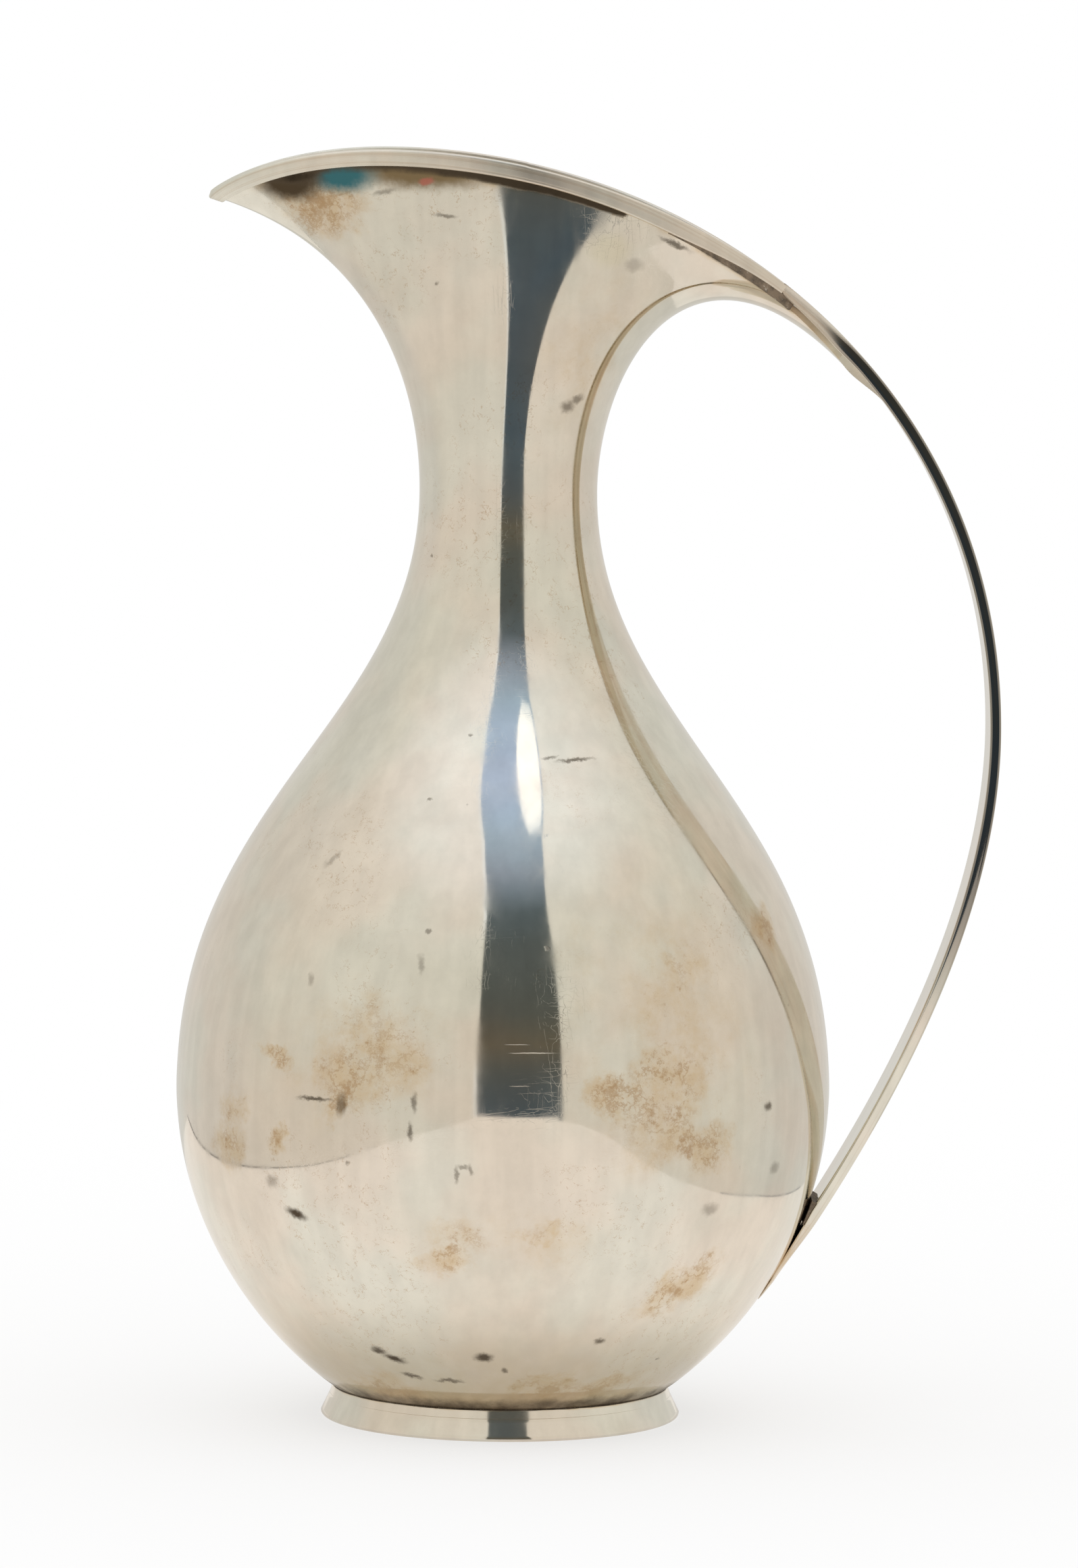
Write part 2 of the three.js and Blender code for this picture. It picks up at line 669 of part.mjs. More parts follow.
const assembly = new THREE.Group();
assembly.add(
  piece("lower_bowl", lowerBowl(), POLISHED),
  piece("neck_and_spout", neckAndSpout(), POLISHED),
  piece("rim_wire", rimWire(), WORN),
  piece("handle_strap", handleStrap(), WORN),
  piece("foot_ring", footRing(), WORN),
  piece("foot_solder_fillet", footSolderFillet(), SOLDERED),
  piece("handle_head_solder", handleHeadSolder(), SOLDERED),
  piece("handle_tail_solder", handleTailSolder(), SOLDERED),
);

// The origin is on the table under the middle of the pitcher, spout to handle.
const extent = new THREE.Box3().setFromObject(assembly);
assembly.position.x = -(extent.min.x + extent.max.x) / 2;
const pitcher = new THREE.Group();
pitcher.add(assembly);

export default pitcher;
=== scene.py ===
"""Looks of a hand-made silver pitcher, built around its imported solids.

Each piece of the pitcher gets a fine mesh in the place of its solid: the turned bowl, the lofted
neck and spout, the rim wire, the handle's strap, the foot ring and the solder at the joints. Sizes
are in millimetres from the body's axis and the table until a mesh is made, and in metres after.
"""

import logging
import math
from dataclasses import dataclass, field
from enum import Enum
from typing import Any, Optional, Sequence, Union

import bmesh
import bpy
import numpy as np
from mathutils import Matrix, Vector


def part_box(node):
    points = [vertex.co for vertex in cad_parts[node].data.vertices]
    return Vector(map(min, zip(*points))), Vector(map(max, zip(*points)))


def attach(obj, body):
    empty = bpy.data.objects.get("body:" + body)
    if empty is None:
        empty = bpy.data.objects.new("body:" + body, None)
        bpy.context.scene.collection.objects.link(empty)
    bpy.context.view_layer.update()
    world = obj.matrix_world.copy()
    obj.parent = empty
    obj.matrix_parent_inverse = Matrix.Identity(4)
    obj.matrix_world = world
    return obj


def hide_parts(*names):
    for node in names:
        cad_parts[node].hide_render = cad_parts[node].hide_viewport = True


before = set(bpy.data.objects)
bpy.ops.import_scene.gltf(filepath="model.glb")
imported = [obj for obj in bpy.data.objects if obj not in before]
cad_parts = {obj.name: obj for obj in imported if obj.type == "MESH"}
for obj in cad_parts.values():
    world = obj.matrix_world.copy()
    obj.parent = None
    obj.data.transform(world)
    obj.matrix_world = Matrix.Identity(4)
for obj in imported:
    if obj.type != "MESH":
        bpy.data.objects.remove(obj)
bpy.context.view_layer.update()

Array = np.ndarray
Number = Union[float, Array]
Colour = tuple[float, float, float]
Place = tuple[float, float, float]
Ramp = tuple[tuple[float, Colour], ...]
Line = tuple[tuple[float, float], ...]
Sides = tuple[tuple[float, float, float], ...]
Span = tuple[float, float]
Run = tuple[float, float, int]
Faces = Sequence[Sequence[int]]
Thing = bpy.types.Object
Stuff = bpy.types.Material
Tree = bpy.types.NodeTree
Socket = bpy.types.NodeSocket
Feed = Union[Socket, float, int, str, Sequence[float], None]

LOG = logging.getLogger("pitcher")
MM = 0.001
AXIS_X = sum(corner.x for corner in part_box("foot_ring")) / 2
ROUND_COLUMNS = 224
CIRCLE_FULLNESS = 0.5523
DIFFERENCE = 1e-3
CURVE_SAMPLES = 6001
SHARP_ANGLE = math.radians(35)


class Slot(Enum):
    """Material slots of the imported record."""

    POLISHED = "polished_silver"
    WORN = "worn_silver"
    SOLDER = "dark_solder"


class Ray(Enum):
    """Kinds of ray that a studio card can be hidden from."""

    CAMERA = "visible_camera"
    DIFFUSE = "visible_diffuse"
    GLOSSY = "visible_glossy"
    SHADOW = "visible_shadow"


# Small sums


def lerp(low: Number, high: Number, share: Number) -> Number:
    """Value between two others, by share."""
    return low + (high - low) * share


def smoothstep(value: Number, low: float, high: float) -> Number:
    """Smooth rise from 0 at low to 1 at high."""
    share = np.clip((value - low) / (high - low), 0, 1)
    return share * share * (3 - 2 * share)


def heading(degrees: float) -> Array:
    """Unit vector of a side view at an angle above the horizontal."""
    return np.array([math.cos(math.radians(degrees)), math.sin(math.radians(degrees))])


def unit(vectors: Array) -> Array:
    """Vectors of length 1 along the last axis."""
    return vectors / np.linalg.norm(vectors, axis=-1, keepdims=True)


def right_of(tangents: Array) -> Array:
    """Vectors of a side view turned a quarter to the right."""
    return np.stack([tangents[..., 1], -tangents[..., 0]], -1)


def to_metres(points: Array) -> Array:
    """Points round the body's axis in millimetres as points of the row frame in metres."""
    return points * MM + np.array([AXIS_X, 0, 0])


@dataclass(frozen=True)
class Cubic:
    """A cubic of a side view or section: distance from the axis, height."""

    start: Array
    start_pull: Array
    end_pull: Array
    end: Array

    def point(self, share: Number) -> Array:
        """Points of the cubic.

        Args:
            share: places from 0 to 1, of any shape.

        Returns:
            Points, with one more axis of length 2.
        """
        t = np.asarray(share, float)[..., None]
        s = 1 - t
        near = s**3 * self.start + 3 * s * s * t * self.start_pull
        return near + 3 * s * t * t * self.end_pull + t**3 * self.end

    def tangent(self, share: Number) -> Array:
        """Unit tangents of the cubic at places from 0 to 1.

        Args:
            share: places from 0 to 1, of any shape.

        Returns:
            Tangents, with one more axis of length 2.
        """
        t = np.asarray(share, float)[..., None]
        s = 1 - t
        first, last = self.start_pull - self.start, self.end - self.end_pull
        middle = self.end_pull - self.start_pull
        return unit(s * s * first + 2 * s * t * middle + t * t * last)

    def outward(self, share: Number) -> Array:
        """Right-hand normals: outwards on a profile that is drawn upwards."""
        return right_of(self.tangent(share))

    def where(self, column: int, value: Number) -> Array:
        """Places where one coordinate, which keeps rising or falling, has a value.

        Args:
            column: 0 for the distance from the axis, 1 for the height.
            value: the wanted coordinates.

        Returns:
            Places from 0 to 1.
        """
        share = np.linspace(0, 1, CURVE_SAMPLES)
        run = self.point(share)[:, column]
        if run[0] > run[-1]:
            share, run = share[::-1], run[::-1]
        return np.interp(value, run, share)


# Node trees


class TreeMaker:
    """Adds nodes to a tree and feeds their sockets from values or other sockets."""

    def __init__(self, tree: Tree) -> None:
        """Keeps the tree that nodes are added to."""
        self.tree = tree

    def node(self, kind: str, **settings: Any) -> bpy.types.Node:
        """New node of a kind, with its own settings.

        Args:
            kind: the node's type.
            settings: the node's own settings.

        Returns:
            The node.
        """
        made = self.tree.nodes.new(kind)
        for name, value in settings.items():
            setattr(made, name, value)
        return made

    def feed(self, node: bpy.types.Node, name: Union[str, int], value: Feed) -> None:
        """Feeds one input of a node.

        Args:
            node: the node.
            name: the input's name or number.
            value: a socket to link, or a value to set.
        """
        inputs = node.inputs
        found = inputs[name] if isinstance(name, int) else self.shown(inputs, name)
        if isinstance(value, bpy.types.NodeSocket):
            self.tree.links.new(value, found)
        else:
            found.default_value = value

    @staticmethod
    def shown(sockets: Any, name: str) -> Socket:
        """The socket of that name that the node's settings leave in use."""
        return next(s for s in sockets if s.name == name and s.enabled)

    def made(
        self, kind: str, output: str, inputs: dict[Union[str, int], Feed], **settings: Any
    ) -> Socket:
        """New node with fed inputs.

        Args:
            kind: the node's type.
            output: name of the wanted output.
            inputs: what feeds each input.
            settings: the node's own settings.

        Returns:
            The wanted output.
        """
        node = self.node(kind, **settings)
        for name, value in inputs.items():
            if value is not None:
                self.feed(node, name, value)
        return self.shown(node.outputs, output)

    def math(self, operation: str, first: Feed, second: Feed = None) -> Socket:
        """Result of a sum of one or two numbers."""
        inputs = {0: first, 1: second}
        return self.made("ShaderNodeMath", "Value", inputs, operation=operation)

    def times(self, first: Feed, second: Feed) -> Socket:
        """Product of two numbers."""
        return self.math("MULTIPLY", first, second)

    def plus(self, first: Feed, second: Feed) -> Socket:
        """Sum of two numbers."""
        return self.math("ADD", first, second)

    def minus(self, first: Feed, second: Feed) -> Socket:
        """Difference of two numbers."""
        return self.math("SUBTRACT", first, second)

    def most(self, first: Feed, second: Feed) -> Socket:
        """The larger of two numbers."""
        return self.math("MAXIMUM", first, second)

    def split(self, vector: Feed) -> Any:
        """Outputs X, Y and Z of a vector.

        Args:
            vector: the vector.

        Returns:
            The outputs, by their names.
        """
        node = self.node("ShaderNodeSeparateXYZ")
        self.feed(node, 0, vector)
        return node.outputs

    def vector(self, operation: str, first: Feed, second: Feed = None) -> Socket:
        """Result of a sum of vectors that gives a vector."""
        inputs = {0: first, 1: second}
        return self.made("ShaderNodeVectorMath", "Vector", inputs, operation=operation)

    def scaled(self, vector: Feed, amount: Feed) -> Socket:
        """A vector times a number."""
        inputs = {0: vector, "Scale": amount}
        return self.made("ShaderNodeVectorMath", "Vector", inputs, operation="SCALE")


class GeometryTree(TreeMaker):
    """A Geometry Nodes tree with named inputs, which ends in realised, dressed geometry."""

    def __init__(self, name: str) -> None:
        """Starts a tree with a geometry input and output and a material input.

        Args:
            name: the tree's name.
        """
        super().__init__(bpy.data.node_groups.new(name, "GeometryNodeTree"))
        face = self.tree.interface
        face.new_socket("Geometry", in_out="OUTPUT", socket_type="NodeSocketGeometry")
        face.new_socket("Geometry", in_out="INPUT", socket_type="NodeSocketGeometry")
        face.new_socket("Material", in_out="INPUT", socket_type="NodeSocketMaterial")
        self.entry = self.node("NodeGroupInput")
        self.index = self.made("GeometryNodeInputIndex", "Index", {})
        self.position = self.made("GeometryNodeInputPosition", "Position", {})

    def number(self, name: str, whole: bool = False) -> Socket:
        """New named number input.

        Args:
            name: the input's name.
            whole: True for a count.

        Returns:
            The input as it enters the tree.
        """
        kind = "NodeSocketInt" if whole else "NodeSocketFloat"
        self.tree.interface.new_socket(name, in_out="INPUT", socket_type=kind)
        return self.shown(self.entry.outputs, name)

    def geometry(self) -> Socket:
        """The geometry that enters the tree."""
        return self.shown(self.entry.outputs, "Geometry")

    def attribute(self, name: str, kind: str = "FLOAT") -> Socket:
        """Value of a named attribute."""
        inputs = {"Name": name}
        return self.made("GeometryNodeInputNamedAttribute", "Attribute", inputs, data_type=kind)

    def sampled(self, geometry: Socket, value: Socket, index: Socket, kind: str) -> Socket:
        """Value of another geometry's point, by the point's number."""
        inputs = {"Geometry": geometry, "Value": value, "Index": index}
        return self.made("GeometryNodeSampleIndex", "Value", inputs, data_type=kind, domain="POINT")

    def count(self, geometry: Socket, component: str) -> Socket:
        """Number of points of a geometry.

        Args:
            geometry: the geometry.
            component: the kind of geometry that is counted.

        Returns:
            The number.
        """
        inputs = {"Geometry": geometry}
        kind = "GeometryNodeAttributeDomainSize"
        return self.made(kind, "Point Count", inputs, component=component)

    def grid(self, rows: Socket, columns: Socket) -> tuple[Socket, Socket, Socket]:
        """New grid of points.

        Args:
            rows: how many rows.
            columns: how many points a row has.

        Returns:
            The grid, and the row and column of each point.
        """
        inputs = {"Vertices X": rows, "Vertices Y": columns}
        mesh = self.made("GeometryNodeMeshGrid", "Mesh", inputs)
        row = self.math("FLOOR", self.math("DIVIDE", self.plus(self.index, 0.5), columns))
        column = self.minus(self.index, self.times(row, columns))
        return mesh, row, column

    def moved(self, geometry: Socket, position: Feed = None, offset: Feed = None) -> Socket:
        """Geometry with its points put at positions or moved by offsets."""
        inputs = {"Geometry": geometry, "Position": position, "Offset": offset}
        return self.made("GeometryNodeSetPosition", "Geometry", inputs)

    def stored(self, geometry: Socket, name: str, value: Socket) -> Socket:
        """Geometry with a number stored at each point under a name.

        Args:
            geometry: the geometry.
            name: the attribute's name.
            value: the number.

        Returns:
            The geometry.
        """
        inputs = {"Geometry": geometry, "Name": name, "Value": value}
        kind = "GeometryNodeStoreNamedAttribute"
        return self.made(kind, "Geometry", inputs, data_type="FLOAT", domain="POINT")

    def merged(self, geometry: Socket, distance: float) -> Socket:
        """Geometry with points closer than a distance made one."""
        inputs = {"Geometry": geometry, "Distance": distance}
        return self.made("GeometryNodeMergeByDistance", "Geometry", inputs)

    def end(self, geometry: Socket) -> Tree:
        """Closes the tree: realise instances, then set the material.

        Args:
            geometry: the finished geometry.

        Returns:
            The closed tree.
        """
        real = self.made("GeometryNodeRealizeInstances", "Geometry", {"Geometry": geometry})
        material = self.shown(self.entry.outputs, "Material")
        inputs = {"Geometry": real, "Material": material}
        dressed = self.made("GeometryNodeSetMaterial", "Geometry", inputs)
        self.feed(self.node("NodeGroupOutput"), "Geometry", dressed)
        return self.tree


MERGE = 2e-6
PROFILE_MARKS = ("grime", "lining", "play", "lift")
BEAD_LEAST = (0.5, 0.3, 0.3)
BEAD_MOST = (2.4, 1.0, 1.0)
BEAD_RIPPLES = 0.7


def turned_tree() -> Tree:
    """Tree that turns a profile round the body's axis, with the marks along it.

    Returns:
        The closed tree.
    """
    tree = GeometryTree("turned piece")
    axis = tree.number("Axis")
    segments = tree.number("Segments", whole=True)
    profile = tree.geometry()
    points = tree.count(profile, "MESH")
    grid, row, column = tree.grid(tree.plus(segments, 1), points)
    corner = tree.split(tree.sampled(profile, tree.position, column, "FLOAT_VECTOR"))
    angle = tree.math("DIVIDE", tree.times(row, math.tau), segments)
    radius = tree.minus(corner["X"], axis)
    x = tree.plus(axis, tree.times(radius, tree.math("COSINE", angle)))
    y = tree.times(radius, tree.math("SINE", angle))
    place = tree.made("ShaderNodeCombineXYZ", "Vector", {"X": x, "Y": y, "Z": corner["Z"]})
    marked = grid
    for name in PROFILE_MARKS:
        value = tree.sampled(profile, tree.attribute(name), column, "FLOAT")
        marked = tree.stored(marked, name, value)
    return tree.end(tree.merged(tree.moved(marked, place), MERGE))


def wire_tree() -> Tree:
    """Tree that draws a bevelled wire along a path whose points hold their own directions.

    Returns:
        The closed tree.
    """
    tree = GeometryTree("wire on a path")
    width = tree.number("Width")
    height = tree.number("Height")
    shift = tree.number("Shift")
    bevel = tree.number("Bevel")
    steps = tree.number("Bevel Steps", whole=True)
    path = tree.geometry()
    inputs = {"Width": width, "Height": height}
    kind = "GeometryNodeCurvePrimitiveQuadrilateral"
    section = tree.made(kind, "Curve", inputs, mode="RECTANGLE")
    inputs = {"Curve": section, "Count": steps, "Radius": bevel}
    rounded = tree.made("GeometryNodeFilletCurve", "Curve", inputs, mode="POLY")
    around = tree.count(rounded, "CURVE")
    grid, row, column = tree.grid(tree.count(path, "MESH"), tree.plus(around, 1))
    corner = tree.math("MODULO", column, around)
    place = tree.split(tree.sampled(rounded, tree.position, corner, "FLOAT_VECTOR"))
    half = tree.times(height, 0.5)
    upper = tree.math("GREATER_THAN", place["Y"], 0.0)
    foot = tree.sampled(path, tree.attribute("foot"), row, "FLOAT")
    top = tree.sampled(path, tree.attribute("top"), row, "FLOAT")
    low_base = tree.plus(foot, half)
    span = tree.minus(tree.minus(top, half), low_base)
    lift = tree.plus(tree.plus(low_base, tree.times(upper, span)), place["Y"])
    across = tree.plus(place["X"], shift)
    edge = tree.sampled(path, tree.position, row, "FLOAT_VECTOR")
    side = tree.sampled(path, tree.attribute("side", "FLOAT_VECTOR"), row, "FLOAT_VECTOR")
    rise = tree.sampled(path, tree.attribute("rise", "FLOAT_VECTOR"), row, "FLOAT_VECTOR")
    spread = tree.vector("ADD", tree.scaled(side, across), tree.scaled(rise, lift))
    marked = tree.stored(grid, "lift", lift)
    placed = tree.moved(marked, tree.vector("ADD", edge, spread))
    return tree.end(tree.merged(placed, MERGE))


def planished_tree() -> Tree:
    """Tree that lays shallow hammer marks over a surface, less where its play fades.

    Returns:
        The closed tree.
    """
    tree = GeometryTree("hammer marks")
    layers = []
    for name in ("Swell", "Facet"):
        size = tree.number(name + " Size")
        depth = tree.number(name + " Depth")
        layers.append((size, depth))
    seed = tree.number("Seed")
    total: Feed = 0.0
    for size, depth in layers:
        scale = tree.math("DIVIDE", 1.0, size)
        inputs = {"Vector": tree.position, "W": seed, "Scale": scale, "Detail": 0.0}
        kind = "ShaderNodeTexNoise"
        noise = tree.made(kind, "Fac", inputs, noise_dimensions="4D")
        total = tree.plus(total, tree.times(noise, depth))
    play = tree.times(total, tree.attribute("play"))
    normal = tree.made("GeometryNodeInputNormal", "Normal", {})
    inward = tree.scaled(normal, tree.times(play, -1.0))
    return tree.end(tree.moved(tree.geometry(), None, inward))


def bead_tree() -> Tree:
    """Tree that strings uneven beads of solder along a path.

    Returns:
        The closed tree.
    """
    tree = GeometryTree("solder beads")
    count = tree.number("Beads", whole=True)
    size = tree.number("Size")
    seed = tree.number("Seed", whole=True)
    path = tree.made("GeometryNodeMeshToCurve", "Curve", {"Mesh": tree.geometry()})
    inputs = {"Curve": path, "Count": count}
    run = tree.made("GeometryNodeResampleCurve", "Curve", inputs, mode="COUNT")
    inputs = {"Radius": size, "Subdivisions": 2}
    bead = tree.made("GeometryNodeMeshIcoSphere", "Mesh", inputs)
    kind = "FunctionNodeRandomValue"
    inputs = {"Min": BEAD_LEAST, "Max": BEAD_MOST, "Seed": seed}
    stretch = tree.made(kind, "Value", inputs, data_type="FLOAT_VECTOR")
    tangent = tree.made("GeometryNodeInputTangent", "Tangent", {})
    kind = "FunctionNodeAlignRotationToVector"
    turn = tree.made(kind, "Rotation", {"Vector": tangent}, axis="X")
    inputs = {"Points": run, "Instance": bead, "Rotation": turn, "Scale": stretch}
    strung = tree.made("GeometryNodeInstanceOnPoints", "Instances", inputs)
    real = tree.made("GeometryNodeRealizeInstances", "Geometry", {"Geometry": strung})
    inputs = {"Vector": tree.position, "Scale": tree.math("DIVIDE", BEAD_RIPPLES, size)}
    ripple = tree.made("ShaderNodeTexNoise", "Color", inputs)
    centred = tree.vector("SUBTRACT", ripple, (0.5, 0.5, 0.5))
    return tree.end(tree.moved(real, None, tree.scaled(centred, size)))


def run_tree(piece: Thing, tree: Tree, settings: dict[str, Any]) -> Thing:
    """Runs a tree on an object and keeps the result as a plain mesh.

    Args:
        piece: the object, whose mesh the result takes the place of.
        tree: the Geometry Nodes tree.
        settings: values of the tree's inputs, by their names.

    Returns:
        The same object.
    """
    sockets = [item for item in tree.interface.items_tree if item.in_out == "INPUT"]
    keys = {item.name: item.identifier for item in sockets}
    modifier = piece.modifiers.new(tree.name, "NODES")
    modifier.node_group = tree
    for name, value in settings.items():
        modifier[keys[name]] = value
    graph = bpy.context.evaluated_depsgraph_get()
    shown = piece.evaluated_get(graph)
    result = bpy.data.meshes.new_from_object(shown, preserve_all_data_layers=True, depsgraph=graph)
    piece.modifiers.remove(modifier)
    old = piece.data
    piece.data = result
    result.name = piece.name
    bpy.data.meshes.remove(old)
    return piece


# Meshes


def new_object(name: str, points: Array, faces: Faces, edges: Faces = ()) -> Thing:
    """New mesh object in the scene.

    Args:
        name: the object's name.
        points: its points in metres.
        faces: its faces, by the points' numbers.
        edges: loose edges, for a path or profile.

    Returns:
        The object.
    """
    mesh = bpy.data.meshes.new(name)
    mesh.from_pydata(np.asarray(points).tolist(), list(edges), list(faces))
    mesh.update()
    piece = bpy.data.objects.new(name, mesh)
    bpy.context.scene.collection.objects.link(piece)
    return piece


def new_path(name: str, points: Array) -> Thing:
    """New object that is a run of edges through points in metres."""
    return new_object(name, points, [], [(n, n + 1) for n in range(len(points) - 1)])


def mark(piece: Thing, **marks: Array) -> None:
    """Stores numbers or vectors for the points of a mesh.

    Args:
        piece: the mesh object.
        marks: one number or vector for each point, by the marks' names.
    """
    for name, values in marks.items():
        values = np.asarray(values, np.float32)
        kind, key = ("FLOAT_VECTOR", "vector") if values.ndim > 1 else ("FLOAT", "value")
        piece.data.attributes.new(name, kind, "POINT").data.foreach_set(key, values.ravel())


def close_and_smooth(piece: Thing, cut: Optional[tuple[Vector, Vector]] = None) -> None:
    """Closes a mesh's open ends, turns its faces outwards and shades it smooth.

    Args:
        piece: the mesh object.
        cut: a point and a direction, to cut away what lies beyond them.
    """
    work = bmesh.new()
    work.from_mesh(piece.data)
    if cut:
        parts = work.verts[:] + work.edges[:] + work.faces[:]
        bmesh.ops.bisect_plane(work, geom=parts, plane_co=cut[0], plane_no=cut[1], clear_outer=True)
    rims = [edge for edge in work.edges if edge.is_boundary]
    if rims:
        bmesh.ops.holes_fill(work, edges=rims)
    if work.calc_volume(signed=True) < 0:
        bmesh.ops.reverse_faces(work, faces=work.faces[:])
    for face in work.faces:
        face.smooth = True
    work.to_mesh(piece.data)
    work.free()
    piece.data.set_sharp_from_angle(angle=SHARP_ANGLE)


def grid_faces(
    rows: int, columns: int, round_rows: bool = False, round_columns: bool = False
) -> list[Sequence[int]]:
    """Faces between rows of points.

    Args:
        rows: how many rows.
        columns: how many points a row has.
        round_rows: True if the last row joins the first.
        round_columns: True if each row closes round.

    Returns:
        Faces of four points each.
    """
    faces = []
    for row in range(rows if round_rows else rows - 1):
        start, above = row * columns, (row + 1) % rows * columns
        for column in range(columns if round_columns else columns - 1):
            beside = (column + 1) % columns
            faces.append((start + column, start + beside, above + beside, above + column))
    return faces


def turned_piece(
    name: str, outline: Array, marks: dict[str, Array], material: Stuff
) -> Thing:
    """A profile or outline turned round the body's axis.

    Args:
        name: the piece's name.
        outline: distances from the axis and heights along it.
        marks: numbers that the mesh holds along it, by their names.
        material: the piece's material.

    Returns:
        The turned piece.
    """
    points = np.stack([outline[:, 0], 0 * outline[:, 0], outline[:, 1]], -1)
    piece = new_path(name, to_metres(points))
    mark(piece, **marks)
    settings = {"Axis": AXIS_X, "Segments": ROUND_COLUMNS, "Material": material}
    run_tree(piece, turned_tree(), settings)
    close_and_smooth(piece)
    return piece


@dataclass(frozen=True)
class WireSection:
    """Section of a wire or a run of solder on the wall's edge."""

    width: float
    height: float
    proud: float
    bevel: float
    bevel_steps: int


def drawn_wire(
    name: str, course: Sequence[Array], section: WireSection, material: Stuff
) -> Thing:
    """A wire drawn along the wall's edge.

    Args:
        name: the piece's name.
        course: points of the edge, directions out and up, and the wire's foot and top.
        section: the wire's section.
        material: the piece's material.

    Returns:
        The wire, with open ends.
    """
    edge, side, rise, foot, top = course
    piece = new_path(name, to_metres(edge))
    mark(piece, side=side, rise=rise, foot=foot * MM, top=top * MM)
    settings = {
        "Material": material,
        "Width": section.width * MM,
        "Height": section.height * MM,
        "Shift": (section.proud - section.width / 2) * MM,
        "Bevel": section.bevel * MM,
        "Bevel Steps": section.bevel_steps,
    }
    return run_tree(piece, wire_tree(), settings)


# Lines of the pitcher


@dataclass(frozen=True)
class SideLine:
    """The rim's and the handle's outside line, seen from the side."""

    height: float = 220
    spout_reach: float = 52.2
    tip_drop: float = 7.6
    tip_slope: float = 45
    tip_pull: float = 3.5
    crown_offset: float = 22
    crown_front_pull: float = 18
    crown_back_pull: float = 56
    handle_reach: float = 85.3
    handle_height: float = 120
    handle_upper_pull: float = 61

    @property
    def tip(self) -> Array:
        """Tip of the spout."""
        return np.array([-self.spout_reach, self.height - self.tip_drop])

    @property
    def crown(self) -> Array:
        """Highest point of the rim."""
        return np.array([-self.crown_offset, self.height])

    @property
    def front(self) -> Cubic:
        """From the tip to the crown."""
        pull = self.tip + self.tip_pull * heading(self.tip_slope)
        return Cubic(self.tip, pull, self.crown - [self.crown_front_pull, 0], self.crown)

    @property
    def back(self) -> Cubic:
        """From the crown to where the handle stands out furthest.

        Returns:
            The curve.
        """
        out = np.array([self.handle_reach, self.handle_height])
        over, down = self.crown + [self.crown_back_pull, 0], out + [0, self.handle_upper_pull]
        return Cubic(self.crown, over, down, out)

    def at(self, reach: Number) -> Array:
        """Height of the line over places along the mouth.

        Args:
            reach: distances from the axis towards the handle.

        Returns:
            Heights of the line.
        """
        behind = self.back.point(self.back.where(0, reach))[..., 1]
        before = self.front.point(self.front.where(0, reach))[..., 1]
        return np.where(np.asarray(reach) > -self.crown_offset, behind, before)

    def lean(self, reach: Number) -> Array:
        """Unit tangents of the line behind the crown."""
        return self.back.tangent(self.back.where(0, reach))


@dataclass(frozen=True)
class Gauge:
    """Thickness of the sheet and of the strap, and the play between pieces."""

    line: SideLine
    sheet: float = 1.1
    seam: float = 0.3
    head_reach: float = 47
    tongue_reach: float = 58
    lap: float = 1.4
    neck: float = 2.1
    strap: float = 1.9
    tail: float = 0.15
    taper_height: float = 36
    tail_end_height: float = 21

    def thickness(self, height: Number) -> Array:
        """Thickness of the strap at heights on its line.

        Args:
            height: heights on the strap's outside line.

        Returns:
            Thicknesses, from the lap on the tongue to the tail.
        """
        head = self.line.at(self.head_reach)
        tongue = self.line.at(self.tongue_reach)
        over = lerp(self.neck, self.lap, (height - tongue) / (head - tongue))
        rise = smoothstep(height, self.line.handle_height, float(tongue))
        upper = lerp(self.strap, self.neck, rise)
        run = (self.taper_height - height) / (self.taper_height - self.tail_end_height)
        lower = lerp(self.strap, self.tail, np.clip(run, 0, 1))
        choices = [height > tongue, height > self.line.handle_height]
        return np.select(choices, [over, upper], lower)

    def lap_drop(self, reach: Number) -> Array:
        """Depth of the wall's edge below the side line where the strap lies over it."""
        covering = self.thickness(self.line.at(reach)) + self.seam + self.sheet
        return covering / self.line.lean(reach)[..., 0]


@dataclass(frozen=True)
class Profile:
    """The body's turned outside, from the flat base to the neck."""

    belly_radius: float = 56.7
    belly_height: float = 57.5
    neck_radius: float = 15.4
    neck_height: float = 161
    base_height: float = 2.2
    base_radius: float = 15
    base_pull: float = 6
    seat_radius: float = 27.5
    seat_height: float = 4.5
    seat_slope: float = 12
    bowl_pull: float = 3
    bowl_rise: float = 33
    shoulder_rise: float = 50
    neck_depth: float = 40

    @property
    def seat(self) -> Array:
        """Where the bowl sits over the foot."""
        return np.array([self.seat_radius, self.seat_height])

    @property
    def belly(self) -> Array:
        """The widest circle."""
        return np.array([self.belly_radius, self.belly_height])

    @property
    def base(self) -> Cubic:
        """Curve from the flat base to the foot.

        Returns:
            The curve.
        """
        start = np.array([self.base_radius, self.base_height])
        pull = self.seat - self.bowl_pull * heading(self.seat_slope)
        return Cubic(start, start + [self.base_pull, 0], pull, self.seat)

    @property
    def bowl(self) -> Cubic:
        """Curve from the foot to the belly."""
        pull = self.seat + self.bowl_pull * heading(self.seat_slope)
        return Cubic(self.seat, pull, self.belly - [0, self.bowl_rise], self.belly)

    @property
    def neck(self) -> Array:
        """The circle where the mouth starts."""
        return np.array([self.neck_radius, self.neck_height])

    @property
    def shoulder(self) -> Cubic:
        """Curve from the belly to the neck."""
        rise, neck = self.belly + [0, self.shoulder_rise], self.neck
        return Cubic(self.belly, rise, neck - [0, self.neck_depth], neck)


